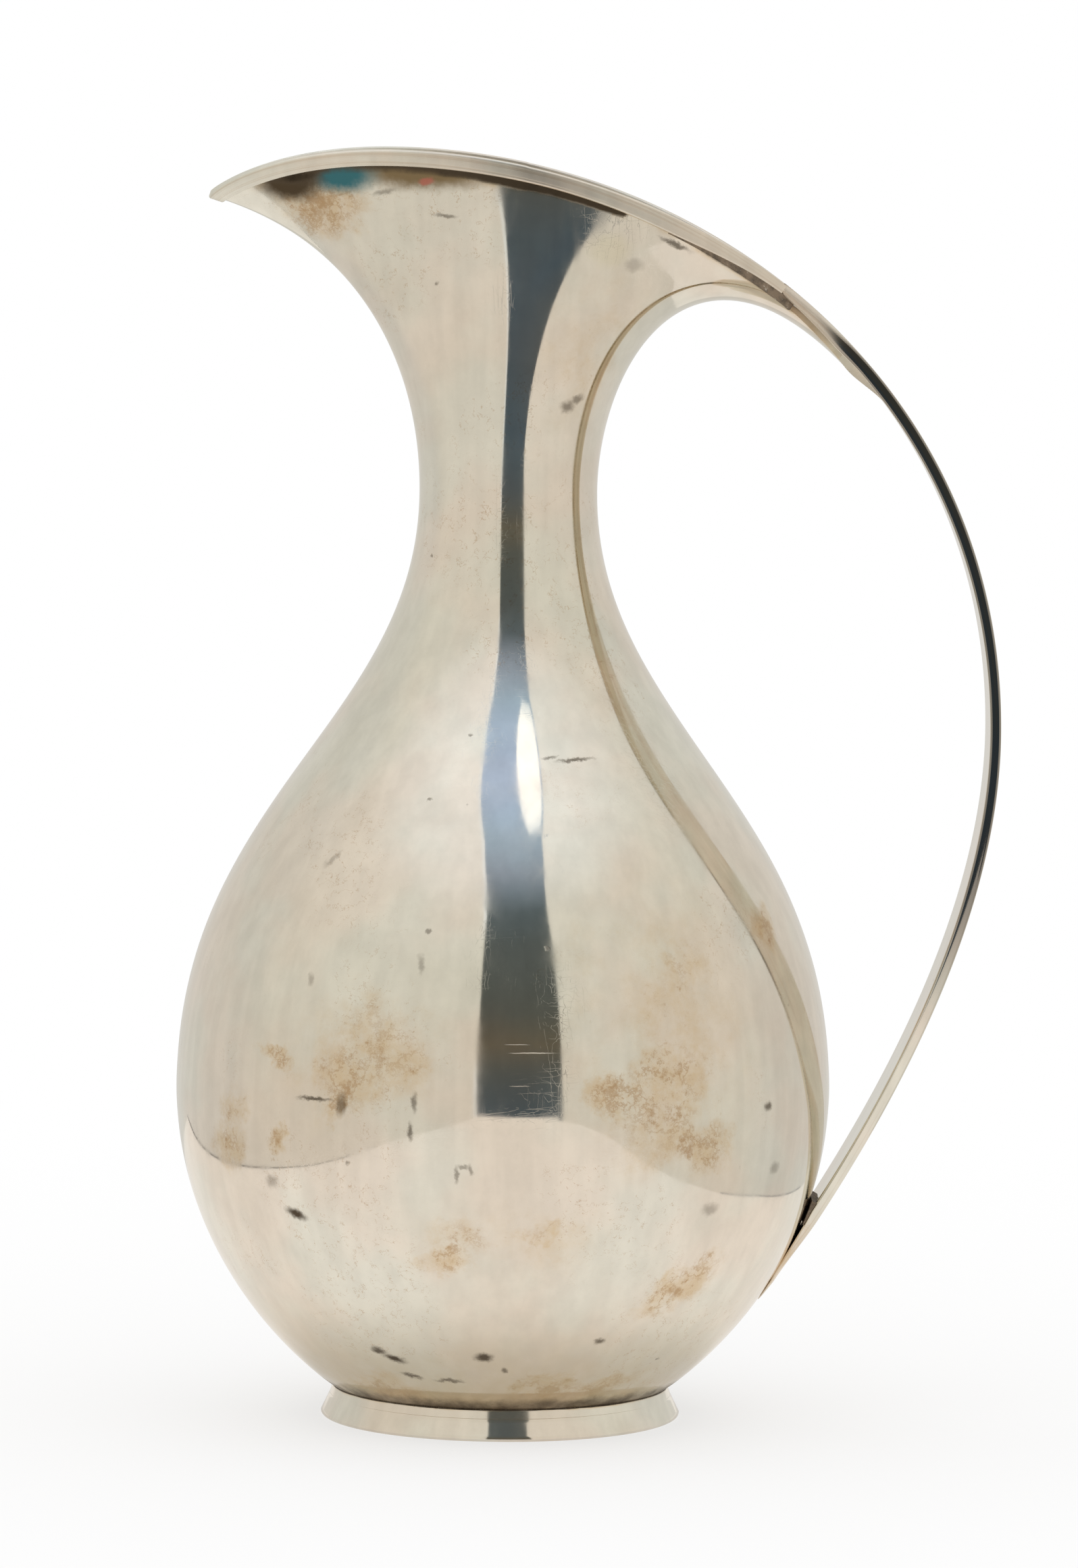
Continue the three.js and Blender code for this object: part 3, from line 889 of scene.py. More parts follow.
@dataclass(frozen=True)
class Mouth:
    """The long pointed mouth, lofted between the meridians of spout, side and tongue."""

    line: SideLine
    gauge: Gauge
    profile: Profile
    half_width: float = 18.2
    widest_offset: float = 2.5
    side_flare: float = 0.5
    side_pull: float = 20
    side_neck_pull: float = 18
    spout_lip: float = 1.7
    spout_neck_pull: float = 18
    spout_pull: float = 27.5
    spout_tip_slope: float = 18
    tongue_neck_pull: float = 22
    tongue_pull: float = 38
    tip_fullness: float = 0.29
    front_fullness: float = 0.46
    back_fullness: float = 0.3
    tongue_fullness: float = 0.36
    wire_height: float = 2.5

    @property
    def wire_reach(self) -> float:
        """Wall's edge to the wire's top."""
        return self.gauge.seam + self.wire_height

    @property
    def side_rise(self) -> float:
        """Depth of the wall's edge below the side line at the widest point."""
        return self.wire_reach * math.cos(math.radians(self.side_flare))

    @property
    def spout_end(self) -> Array:
        """Wall's edge under the spout's tip."""
        reach = self.line.spout_reach - self.wire_reach
        return np.array([reach, self.line.tip[1] - self.spout_lip])

    @property
    def side_end(self) -> Array:
        """Wall's edge at the widest point."""
        return np.array([self.half_width, self.line.at(self.widest_offset) - self.side_rise])

    @property
    def tongue_end(self) -> Array:
        """Wall's edge at the end of the tongue."""
        reach = self.gauge.tongue_reach
        return np.array([reach, self.line.at(reach) - self.gauge.lap_drop(reach)])

    def meridian(self, end: Array, rise: float, pull: Array) -> Cubic:
        """Line up the wall from the neck to its edge."""
        neck = self.profile.neck
        return Cubic(neck, neck + [0, rise], end - pull, end)

    @property
    def spout(self) -> Cubic:
        """Meridian under the spout."""
        pull = self.spout_pull * heading(self.spout_tip_slope)
        return self.meridian(self.spout_end, self.spout_neck_pull, pull)

    @property
    def side(self) -> Cubic:
        """Meridian at the widest point."""
        pull = self.side_pull * heading(90 - self.side_flare)
        return self.meridian(self.side_end, self.side_neck_pull, pull)

    @property
    def tongue(self) -> Cubic:
        """Meridian under the handle."""
        pull = self.tongue_pull * self.line.lean(self.gauge.tongue_reach)
        return self.meridian(self.tongue_end, self.tongue_neck_pull, pull)

    def edge_height(self, reach: Array) -> Array:
        """Height of the wall's edge at places along the mouth.

        Args:
            reach: distances from the axis towards the handle.

        Returns:
            Heights of the edge.
        """
        line, gauge = self.line, self.gauge
        length = self.widest_offset + self.spout_end[0]
        forward = np.clip((self.widest_offset - reach) / length, 0, None)
        end_drop = line.at(-self.spout_end[0]) - self.spout_end[1]
        before = lerp(self.side_rise, end_drop, forward**4)
        lapped = smoothstep(reach, self.widest_offset, gauge.head_reach)
        behind = lerp(self.side_rise, gauge.lap_drop(gauge.head_reach), lapped)
        choices = [reach < self.widest_offset, reach > gauge.head_reach]
        return line.at(reach) - np.select(choices, [before, gauge.lap_drop(reach)], behind)

    def point(self, turn: Number, climb: Number) -> Array:
        """Points on the outside of the mouth.

        Args:
            turn: 0 at the tongue, 1 at the side, 2 at the tip, and back to 4 on the other side.
            climb: 0 at the neck, 1 at the wall's edge.

        Returns:
            Points of three coordinates.
        """
        turn, climb = np.broadcast_arrays(np.asarray(turn, float), np.asarray(climb, float))
        mirrored = np.where((turn < 0) | (turn > 2), -1.0, 1.0)
        turn = np.where(turn > 2, 4 - turn, np.abs(turn))
        front = turn > 1
        facing = np.where(front, -1.0, 1.0)
        side = self.side.point(climb)
        end = np.where(front[..., None], self.spout.point(climb), self.tongue.point(climb))
        rim_end = np.where(front[..., None], self.spout_end, self.tongue_end)
        widest = self.widest_offset * smoothstep(climb, 0, 1)
        length = end[..., 0] - facing * widest
        rim_along = np.where(front, self.front_fullness, self.back_fullness)
        rim_across = np.where(front, self.tip_fullness, self.tongue_fullness)
        along = lerp(CIRCLE_FULLNESS, rim_along, climb)
        across = lerp(CIRCLE_FULLNESS, rim_across, climb)
        t = np.abs(turn - 1)
        s = 1 - t
        share = 3 * s * s * t * along + 3 * s * t * t + t**3
        wide = side[..., 0] * (s**3 + 3 * s * s * t + 3 * s * t * t * across)
        rim_length = rim_end[..., 0] - facing * self.widest_offset
        rim_x = self.widest_offset + facing * share * rim_length
        swell = self.edge_height(rim_x) - lerp(self.side_end[1], rim_end[..., 1], share**2)
        z = lerp(side[..., 1], end[..., 1], share**2) + swell * climb**2
        return np.stack([widest + facing * length * share, mirrored * wide, z], -1)

    def frames(self, turn: Number, climb: Number) -> tuple[Array, Array, Array]:
        """Directions at points of the wall.

        Args:
            turn: places round the mouth, as for point.
            climb: places up the wall, as for point.

        Returns:
            Unit vectors along the edge, out of the wall, and on past the edge.
        """
        along = unit(self.point(turn + DIFFERENCE, climb) - self.point(turn - DIFFERENCE, climb))
        rising = self.point(turn, climb) - self.point(turn, climb - DIFFERENCE)
        out = unit(np.cross(along, rising))
        return along, out, np.cross(out, along)

    def turn_at(self, reach: Number) -> Array:
        """Places round the back of the mouth where the edge has a reach towards the handle."""
        turns = np.linspace(1, 0, CURVE_SAMPLES)
        return np.interp(reach, self.point(turns, 1.0)[:, 0], turns)


# Finishes


@dataclass(frozen=True)
class Mark:
    """A stain, pit, scuff or coloured patch on the metal, some patches being painted shade: a
    ragged ellipsoid that the surface cuts through.
    """

    place: Place
    reach: Place
    amount: float = 1.0
    turn: float = 0.0
    colour: Colour = (0.10, 0.075, 0.05)


@dataclass(frozen=True)
class Cloud:
    """A cloudy pattern, in counts a metre, and the smooth step that is taken of it."""

    scale: float
    detail: float
    rough: float = 0.5
    low: float = 0.0
    high: float = 1.0
    first: float = 0.0
    last: float = 1.0


class Shader(TreeMaker):
    """A material's node tree, with the few kinds of pattern that aged metal needs."""

    SHAKE_DETAIL = 5.0
    SHAKE_ROUGH = 0.7
    DRAWN = Cloud(1, 2)

    def __init__(self, name: str) -> None:
        """Starts a material with a principled shader.

        Args:
            name: the material's name.
        """
        self.material = bpy.data.materials.new(name)
        self.material.use_nodes = True
        super().__init__(self.material.node_tree)
        self.tree.nodes.clear()
        self.surface = self.node("ShaderNodeBsdfPrincipled")
        self.output = self.node("ShaderNodeOutputMaterial")
        self.feed(self.output, "Surface", self.surface.outputs[0])
        self.place = self.node("ShaderNodeTexCoord").outputs["Object"]

    def noise(self, cloud: Cloud, at: Feed = None) -> Socket:
        """Cloudy pattern over the surface, or over other places.

        Args:
            cloud: the pattern.
            at: the places, if not the surface's own.

        Returns:
            The pattern's values.
        """
        inputs = {"Vector": at or self.place, "Scale": cloud.scale}
        inputs |= {"Detail": cloud.detail, "Roughness": cloud.rough}
        return self.made("ShaderNodeTexNoise", "Fac", inputs)

    def ranged(
        self, value: Feed, low: float, high: float, first: float = 0.0, last: float = 1.0
    ) -> Socket:
        """Smooth step of a value.

        Args:
            value: the value.
            low: where the step starts.
            high: where it ends.
            first: result at the start.
            last: result at the end.

        Returns:
            The stepped value.
        """
        inputs = {"Value": value, "From Min": low, "From Max": high}
        inputs |= {"To Min": first, "To Max": last}
        kind = "ShaderNodeMapRange"
        return self.made(kind, "Result", inputs, interpolation_type="SMOOTHSTEP")

    def stepped(self, cloud: Cloud, value: Feed = None) -> Socket:
        """Smooth step of a cloudy pattern, or of a value that was made from it."""
        found = value or self.noise(cloud)
        return self.ranged(found, cloud.low, cloud.high, cloud.first, cloud.last)

    def roughened(self, roughness: Feed, relief: float, depth: float, height: Feed) -> None:
        """Gives the surface its roughness and its fine relief.

        Args:
            roughness: the surface's roughness.
            relief: strength of the relief.
            depth: its depth in metres.
            height: its pattern.
        """
        self.feed(self.surface, "Roughness", roughness)
        inputs = {"Strength": relief, "Distance": depth, "Height": height}
        self.feed(self.surface, "Normal", self.made("ShaderNodeBump", "Normal", inputs))

    def mixed(self, share: Feed, first: Feed, second: Feed, blend: str = "MIX") -> Socket:
        """Mix of two colours.

        Args:
            share: share of the second colour.
            first: one colour.
            second: the other colour.
            blend: how the second is laid over the first.

        Returns:
            The mixed colour.
        """
        node = self.node("ShaderNodeMix", data_type="RGBA", blend_type=blend)
        for name, value in (("Factor", share), ("A", first), ("B", second)):
            solid = isinstance(value, tuple)
            self.feed(node, name, (*value, 1.0) if solid else value)
        return self.shown(node.outputs, "Result")

    def held(self, name: str) -> Socket:
        """Number that the mesh holds under a name."""
        return self.node("ShaderNodeAttribute", attribute_name=name).outputs["Fac"]

    def shaken(self, scale: float, reach: float) -> Socket:
        """The surface's places, shaken by a cloudy pattern, so that marks get ragged edges.

        Args:
            scale: the pattern's counts a metre.
            reach: how far places are shaken, in millimetres.

        Returns:
            The shaken places.
        """
        inputs = {"Vector": self.place, "Scale": scale}
        inputs |= {"Detail": self.SHAKE_DETAIL, "Roughness": self.SHAKE_ROUGH}
        cloud = self.made("ShaderNodeTexNoise", "Color", inputs)
        centred = self.vector("SUBTRACT", cloud, (0.5, 0.5, 0.5))
        return self.vector("ADD", self.place, self.scaled(centred, reach * MM))

    def mapped(self, at: Socket, middle: Place, turn: Place, reach: Place) -> Socket:
        """Places as seen from a middle, turned in degrees and measured in reaches.

        Args:
            at: the places.
            middle: the middle in metres.
            turn: turns round the three axes.
            reach: reaches along the turned axes in metres.

        Returns:
            The places, in reaches.
        """
        node = self.node("ShaderNodeMapping", vector_type="TEXTURE")
        self.feed(node, "Vector", at)
        self.feed(node, "Location", tuple(middle))
        self.feed(node, "Rotation", tuple(math.radians(angle) for angle in turn))
        self.feed(node, "Scale", tuple(reach))
        return node.outputs[0]

    def spot(self, mark: Mark, at: Socket, core: float = 0.0) -> Socket:
        """Strength of a mark: its amount in the middle, 0 from its edge on.

        Args:
            mark: the mark.
            at: the surface's places.
            core: share of the reach that is at full strength.

        Returns:
            The strength.
        """
        middle = to_metres(np.array(mark.place))
        reach = [MM * size for size in mark.reach]
        inputs = {0: self.mapped(at, middle, (0, mark.turn, 0), reach)}
        far = self.made("ShaderNodeVectorMath", "Value", inputs, operation="LENGTH")
        return self.ranged(far, core, 1.0, mark.amount, 0.0)

    def spots(self, marks: Sequence[Mark], at: Socket, core: float = 0.0) -> Socket:
        """Strength of the strongest of some marks.

        Args:
            marks: the marks.
            at: the surface's places.
            core: share of the reach that is at full strength.

        Returns:
            The strength.
        """
        total: Feed = self.times(0.0, 0.0)
        for mark in marks:
            total = self.most(total, self.spot(mark, at, core))
        return total

    def drawn(self, turn: Place, fine: float, long: float) -> Socket:
        """Cloudy pattern drawn out in one direction: fine and long are counts a metre."""
        at = self.mapped(self.place, (0, 0, 0), turn, (1 / fine, 1 / fine, 1 / long))
        return self.noise(self.DRAWN, at)

    def contour(self, value: Socket, width: float) -> Socket:
        """Thin lines where a cloudy pattern has its middle value."""
        off = self.math("ABSOLUTE", self.minus(value, 0.5))
        return self.ranged(off, 0.0, width, 1.0, 0.0)


@dataclass(frozen=True)
class SilverFinish:
    """Polished silver that has aged: hazy, scratched, pitted and stained, with painted shade and
    dark reflection where the mesh marks them.
    """

    name: str
    bright: Colour = (0.86, 0.82, 0.745)
    dull: Colour = (0.79, 0.74, 0.655)
    rosy: Colour = (1.0, 0.955, 0.92)
    greenish: Colour = (0.965, 0.985, 0.965)
    wash: Colour = (0.71, 0.56, 0.37)
    tarnish: Colour = (0.46, 0.285, 0.14)
    olive: Colour = (0.56, 0.46, 0.29)
    # Colour of the pits, and of the painted shade where it is darkest.
    soot_and_shade: Colour = (0.10, 0.075, 0.05)
    inside: Colour = (0.55, 0.49, 0.40)
    # Colour of the strap's narrow sides: painted dark reflection, with a tarnish film.
    film: Colour = (0.20, 0.185, 0.165)
    roughness: float = 0.055
    haze: float = 0.06
    scratched: float = 0.3
    pitted: float = 1.0
    squiggled: float = 0.0
    foot_wash: float = 0.0
    grain: Optional[Place] = None
    grain_fine: float = 2600
    grain_depth: float = 0.9
    relief: float = 0.35
    stains: tuple[Mark, ...] = ()
    pits: tuple[Mark, ...] = ()
    shade_and_tarnish_patches: tuple[Mark, ...] = ()
    scuffs: tuple[Mark, ...] = ()

    MOTTLED = Cloud(170, 6, 0.65)
    DULLED = Cloud(20, 4, 0.6, 0.3, 0.7)
    TINTED = Cloud(46, 3, 0.5, 0.38, 0.62)
    CLOUDED = Cloud(125, 6, 0.62, -0.12, 0.95)
    UNEVEN = Cloud(240, 6, 0.72, 0.32, 0.62, 0.4, 1.0)
    SPECKLED = Cloud(330, 8, 0.78, 0.64, 0.80)
    VEINED = Cloud(150, 6, 0.72)
    WORMY = Cloud(300, 4, 0.7)
    BROKEN = Cloud(700, 2, 0.5, 0.42, 0.6)
    PATCHES = Cloud(38, 3, 0.5, 0.50, 0.62)
    SPARSE = Cloud(60, 2, 0.5, 0.45, 0.65)
    FILED = Cloud(1, 3, 0.6, 0.5, 0.66)
    STREAKS = (330.0, 14.0)
    STREAK_STEP = (0.3, 0.7, 0.965, 1.03)
    GRIT_STEP = (0.25, 0.75, 0.955, 1.035)
    HAZE = (240.0, 70.0)
    HAZE_STEP = (0.42, 0.7)
    GRIME_AND_SHADE_MOTTLE = 0.5
    GRIME_AND_SHADE_STEP = (0.95, 1.35)
    FOOT_WASH_ENDS = (0.004, 0.030)
    FOOT_WASH_STEP = (0.2, 0.7, 0.6, 1.0)
    STAIN_SHAKE = (95.0, 13.0)
    STAIN_FROM_GRIME_AND_SHADE = 0.5
    STAIN_CLOUD = 2.3
    WASH_STEP = (0.0, 0.4)
    CORE_STEP = (0.02, 0.4)
    SPECK_NEAR = 0.2
    VEIN_STEP = (0.25, 0.9)
    VEIN_WIDTH = 0.035
    VEIN_SHARE = 0.8
    WORM_WIDTH = 0.014
    WORM_WASH = 0.7
    PIT_SHAKE = (450.0, 2.0)
    PIT_CORE = 0.2
    PIT_SCALE = 150.0
    PIT_SHARE = 0.09
    PIT_SIZE = 0.05
    PIT_STEP = (0.0, 0.06, 0.55, 0.0)
    SHADE_AND_TARNISH_CORE = 0.35
    SCUFF_SHAKE = (300.0, 0.25)
    SCUFF_CORE = 0.5
    HAIR_FINE = 520.0
    HAIR_WIDTH = 0.006
    HAIRS = (
        ((0, 0, 0), 5.0), ((0, 84, 0), 9.0), ((25, -70, 40), 9.0),
    )
    COVER = {
        "wash": 0.85, "stain": 0.72, "film": 0.9, "lining": 0.45, "filed": 0.22,
    }
    ROUGHEN = {
        "mottle": 0.04, "stain": 0.16, "wash": 0.03, "pit": 0.4, "dark": 0.35, "lining": 0.135,
        "hairs": 0.12, "scuff": 0.5, "worms": 0.15, "satin": 0.6,
    }
    SINK = {"mottle": -0.22, "hairs": 0.5, "pit": 1.2}
    MOTTLE_MEAN = 0.02
    RELIEF_DEPTH = 0.00004

    def metal(self, shader: Shader, mottle: Socket) -> Socket:
        """Colour of the clean metal: warm, with faint clouds, streaks and grit.

        Args:
            shader: the material's tree.
            mottle: the finish's fine cloudy pattern.

        Returns:
            The colour.
        """
        colour = shader.mixed(shader.stepped(self.DULLED), self.dull, self.bright)
        tint = shader.mixed(shader.stepped(self.TINTED), self.rosy, self.greenish)
        colour = shader.mixed(1.0, colour, tint, "MULTIPLY")
        streak = shader.ranged(shader.drawn((0, 0, 0), *self.STREAKS), *self.STREAK_STEP)
        grit = shader.ranged(mottle, *self.GRIT_STEP)
        return shader.scaled(colour, shader.times(streak, grit))

    def material(self) -> Stuff:
        """New material of this finish.

        Returns:
            The material.
        """
        shader = Shader(self.name)
        near = shader.shaken(*self.PIT_SHAKE)
        layers = self.layers(shader, near)
        shade_and_tarnish_patches = {f"paint {n}": shade_and_tarnish_patch.colour for n, shade_and_tarnish_patch in enumerate(self.shade_and_tarnish_patches)}
        tones = {"wash": self.wash, "stain": self.tarnish, "low": self.olive}
        tones |= {"worms": self.tarnish, **shade_and_tarnish_patches, "pit": self.soot_and_shade, "dark": self.soot_and_shade}
        tones |= {"film": self.film, "lining": self.inside, "filed": self.tarnish}
        colour = self.metal(shader, layers["mottle"])
        for name, tone in tones.items():
            if name in layers:
                share = shader.times(layers[name], self.COVER.get(name, 1.0))
                colour = shader.mixed(share, colour, tone)
        shader.feed(shader.surface, "Base Color", colour)
        shader.feed(shader.surface, "Metallic", 1.0)
        rough: Feed = self.roughness - self.MOTTLE_MEAN
        for name, weight in {**self.ROUGHEN, "haze": self.haze}.items():
            rough = shader.plus(rough, shader.times(layers[name], weight))
        height: Feed = 0.0
        for name, depth in {**self.SINK, "filed": self.grain_depth}.items():
            height = shader.minus(height, shader.times(layers[name], depth))
        shader.roughened(rough, self.relief, self.RELIEF_DEPTH, height)
        return shader.material

    def layers(self, shader: Shader, near: Socket) -> dict[str, Socket]:
        """Strengths of all that lies on the metal or is cut into it, and of the painted shade and
        dark reflection that the mesh marks.

        Args:
            shader: the material's tree.
            near: the surface's places, shaken for pits.

        Returns:
            The strengths, by the layers' names.
        """
        mottle = shader.noise(self.MOTTLED)
        wash, stain = self.stained(shader)
        # The marked grime and painted shade, made uneven by the mottle.
        grime_and_shade_sum = shader.plus(shader.held("grime"), shader.times(mottle, self.GRIME_AND_SHADE_MOTTLE))
        found = {name: shader.held(name) for name in ("film", "lining", "satin")}
        found |= {"mottle": mottle, "wash": wash, "stain": stain}
        found["worms"] = self.squiggles(shader, wash)
        found["pit"] = self.pitting(shader, near)
        # Soot colour where the marked grime and painted shade are strongest, such as the dark line
        # under the rim band.
        found["dark"] = shader.ranged(grime_and_shade_sum, *self.GRIME_AND_SHADE_STEP)
        found["hairs"] = self.scratches(shader)
        found["filed"] = self.filed(shader)
        found["haze"] = shader.ranged(shader.drawn((0, 0, 0), *self.HAZE), *self.HAZE_STEP)
        shaken = shader.shaken(*self.SCUFF_SHAKE)
        found["scuff"] = shader.spots(self.scuffs, shaken, self.SCUFF_CORE)
        if self.foot_wash:
            height = shader.split(shader.place)["Z"]
            low = shader.ranged(height, *self.FOOT_WASH_ENDS, self.foot_wash, 0.0)
            found["low"] = shader.times(low, shader.ranged(mottle, *self.FOOT_WASH_STEP))
        # Coloured patches by the rim, partly painted shade and dark reflection under the band.
        for n, shade_and_tarnish_patch in enumerate(self.shade_and_tarnish_patches):
            found[f"paint {n}"] = shader.spot(shade_and_tarnish_patch, near, self.SHADE_AND_TARNISH_CORE)
        return found

    def stained(self, shader: Shader) -> tuple[Socket, Socket]:
        """Orange-brown tarnish: a soft wash, and ragged specks and veins in it.

        Args:
            shader: the material's tree.

        Returns:
            Strength of the wash, and of the specks and veins.
        """
        near = shader.spots(self.stains, shader.shaken(*self.STAIN_SHAKE))
        # Stains also spread where the mesh marks grime and painted shade.
        near = shader.most(near, shader.times(shader.held("grime"), self.STAIN_FROM_GRIME_AND_SHADE))
        cloud = shader.minus(shader.noise(self.CLOUDED), 0.5)
        soft = shader.plus(near, shader.times(cloud, self.STAIN_CLOUD))
        soft = shader.times(shader.stepped(self.CLOUDED, soft), shader.stepped(self.UNEVEN))
        soft = shader.times(soft, shader.ranged(near, *self.WASH_STEP))
        speck = shader.noise(self.SPECKLED)
        speck = shader.plus(speck, shader.times(near, self.SPECK_NEAR))
        vein = shader.contour(shader.noise(self.VEINED), self.VEIN_WIDTH)
        vein = shader.times(vein, shader.ranged(near, *self.VEIN_STEP))
        vein = shader.times(vein, self.VEIN_SHARE)
        core = shader.most(shader.stepped(self.SPECKLED, speck), vein)
        return soft, shader.times(core, shader.ranged(near, *self.CORE_STEP))

    def squiggles(self, shader: Shader, wash: Socket) -> Socket:
        """Fine wormy lines of tarnish, in scattered patches.

        Args:
            shader: the material's tree.
            wash: strength of the soft wash.

        Returns:
            The lines' strength.
        """
        line = shader.contour(shader.noise(self.WORMY), self.WORM_WIDTH)
        line = shader.times(line, shader.stepped(self.BROKEN))
        patch = shader.most(shader.stepped(self.PATCHES), shader.times(wash, self.WORM_WASH))
        return shader.times(shader.times(line, patch), self.squiggled)

    def pitting(self, shader: Shader, near: Socket) -> Socket:
        """Small dark pits: a sparse scatter, and larger ones in their places.

        Args:
            shader: the material's tree.
            near: the surface's places, shaken for pits.

        Returns:
            The pits' strength.
        """
        node = shader.node("ShaderNodeTexVoronoi", feature="F1")
        shader.feed(node, "Vector", near)
        shader.feed(node, "Scale", self.PIT_SCALE)
        chosen = shader.node("ShaderNodeSeparateColor")
        shader.feed(chosen, 0, node.outputs["Color"])
        most = 1 - self.PIT_SHARE * self.pitted
        few = shader.math("GREATER_THAN", chosen.outputs["Red"], most)
        size = shader.times(chosen.outputs["Green"], self.PIT_SIZE)
        close = shader.minus(node.outputs["Distance"], size)
        scattered = shader.times(few, shader.ranged(close, *self.PIT_STEP))
        return shader.most(scattered, shader.spots(self.pits, near, self.PIT_CORE))

    def scratches(self, shader: Shader) -> Socket:
        """Hairline scratches, most of them along the body.

        Args:
            shader: the material's tree.

        Returns:
            The scratches' strength.
        """
        total: Feed = 0.0
        for turn, long in self.HAIRS:
            line = shader.contour(shader.drawn(turn, self.HAIR_FINE, long), self.HAIR_WIDTH)
            total = shader.most(total, line)
        return shader.times(shader.times(total, shader.stepped(self.SPARSE)), self.scratched)

    def filed(self, shader: Shader) -> Socket:
        """Fine parallel lines that a file left along a band or strap.

        Args:
            shader: the material's tree.

        Returns:
            The lines' strength, 0 on a finish without grain.
        """
        if self.grain is None:
            return shader.times(0.0, 0.0)
        along = shader.vector("MULTIPLY", shader.place, self.grain)
        lift = shader.times(shader.held("lift"), self.grain_fine)
        across = shader.made("ShaderNodeCombineXYZ", "Vector", {"X": lift})
        lines = shader.noise(self.FILED, shader.vector("ADD", along, across))
        return shader.stepped(self.FILED, lines)


@dataclass(frozen=True)
class SolderFinish:
    """Blackened solder, with a little worn metal showing through."""

    name: str
    black: Colour = (0.09, 0.068, 0.045)
    brown: Colour = (0.22, 0.16, 0.105)
    worn: Colour = (0.62, 0.56, 0.47)
    roughness: float = 0.6
    bare_shine: float = 0.25
    metallic: float = 0.3
    relief: float = 0.6
    relief_depth: float = 0.0001

    BROWNED = Cloud(420, 5, 0.65, 0.35, 0.6)
    RUBBED = Cloud(1100, 6, 0.7, 0.60, 0.74)

    def material(self) -> Stuff:
        """New material of this finish.

        Returns:
            The material.
        """
        shader = Shader(self.name)
        colour = shader.mixed(shader.stepped(self.BROWNED), self.black, self.brown)
        fine = shader.noise(self.RUBBED)
        bare = shader.stepped(self.RUBBED, fine)
        shader.feed(shader.surface, "Base Color", shader.mixed(bare, colour, self.worn))
        shader.feed(shader.surface, "Metallic", self.metallic)
        rough = shader.minus(self.roughness, shader.times(bare, self.bare_shine))
        shader.roughened(rough, self.relief, self.relief_depth, fine)
        return shader.material


BODY_STAINS = (
    Mark((-20.8, -51.7, 70.4), (17.0, 15, 15.0), 0.72),
    Mark((-25.6, -50.2, 64.8), (13.0, 11, 11.0), 0.9),
    Mark((-27.0, -49.8, 60.7), (4.6, 6, 6.0), 1.3),
    Mark((-38.4, -40.9, 67.5), (8.5, 8, 3.2), 0.95),
    Mark((-46.9, -31.4, 51.4), (9.5, 10, 6.8), 0.75),
    Mark((-37.9, -41.9, 52.6), (4.6, 5, 3.8), 0.9),
    Mark((-45.4, -33.9, 57.2), (7.0, 7, 5.6), 0.65),
    Mark((27.5, -49.5, 60.3), (21.0, 16, 17.0), 0.8),
    Mark((28.4, -48.6, 66.0), (15.0, 12, 7.5), 1.0),
    Mark((20.6, -52.7, 62.5), (11.0, 9, 6.5), 1.1),
    Mark((33.9, -45.3, 53.7), (10.5, 10, 11.0), 1.05),
    Mark((30.2, -43.3, 82.5), (10.0, 10, 13.0), 0.6),
    Mark((44.5, -24.3, 88.0), (5.0, 6, 7.0), 0.9),
    Mark((-9.7, -51.1, 34.0), (9.0, 8, 3.8), 0.95),
    Mark((-5.7, -53.0, 37.6), (12.0, 8, 6.0), 0.6),
    Mark((29.8, -38.8, 27.5), (15.0, 12, 5.6), 1.05, -25),
    Mark((6.7, -53.4, 38.9), (6.5, 6, 5.0), 0.7),
    Mark((-20.8, -26.7, 8.9), (15.0, 12, 4.4), 1.0),
    Mark((8.1, -34.2, 10.0), (11.0, 9, 4.4), 1.35),
    Mark((18.5, -29.4, 9.7), (12.0, 9, 3.6), 1.1),
    Mark((-33.1, -8.4, 210.4), (14.0, 12, 8.0), 1.15),
    Mark((26, -45, 75), (36, 30, 42), 0.34),
    Mark((14, -12, 186), (20, 15, 26), 0.3),
    Mark((-24, -45, 68), (26, 22, 20), 0.34),
    Mark((4, -52, 38), (30, 24, 12), 0.28),
    Mark((22, 50, 66), (16.8, 12.6, 12.6), 0.85),
    Mark((-24, 46, 40), (14, 12.6, 9.8), 0.8),
    Mark((-50, 12, 44), (12.6, 12.6, 11.2), 0.7),
    Mark((5, 54, 52), (19.6, 11.2, 8.4), 0.7),
)
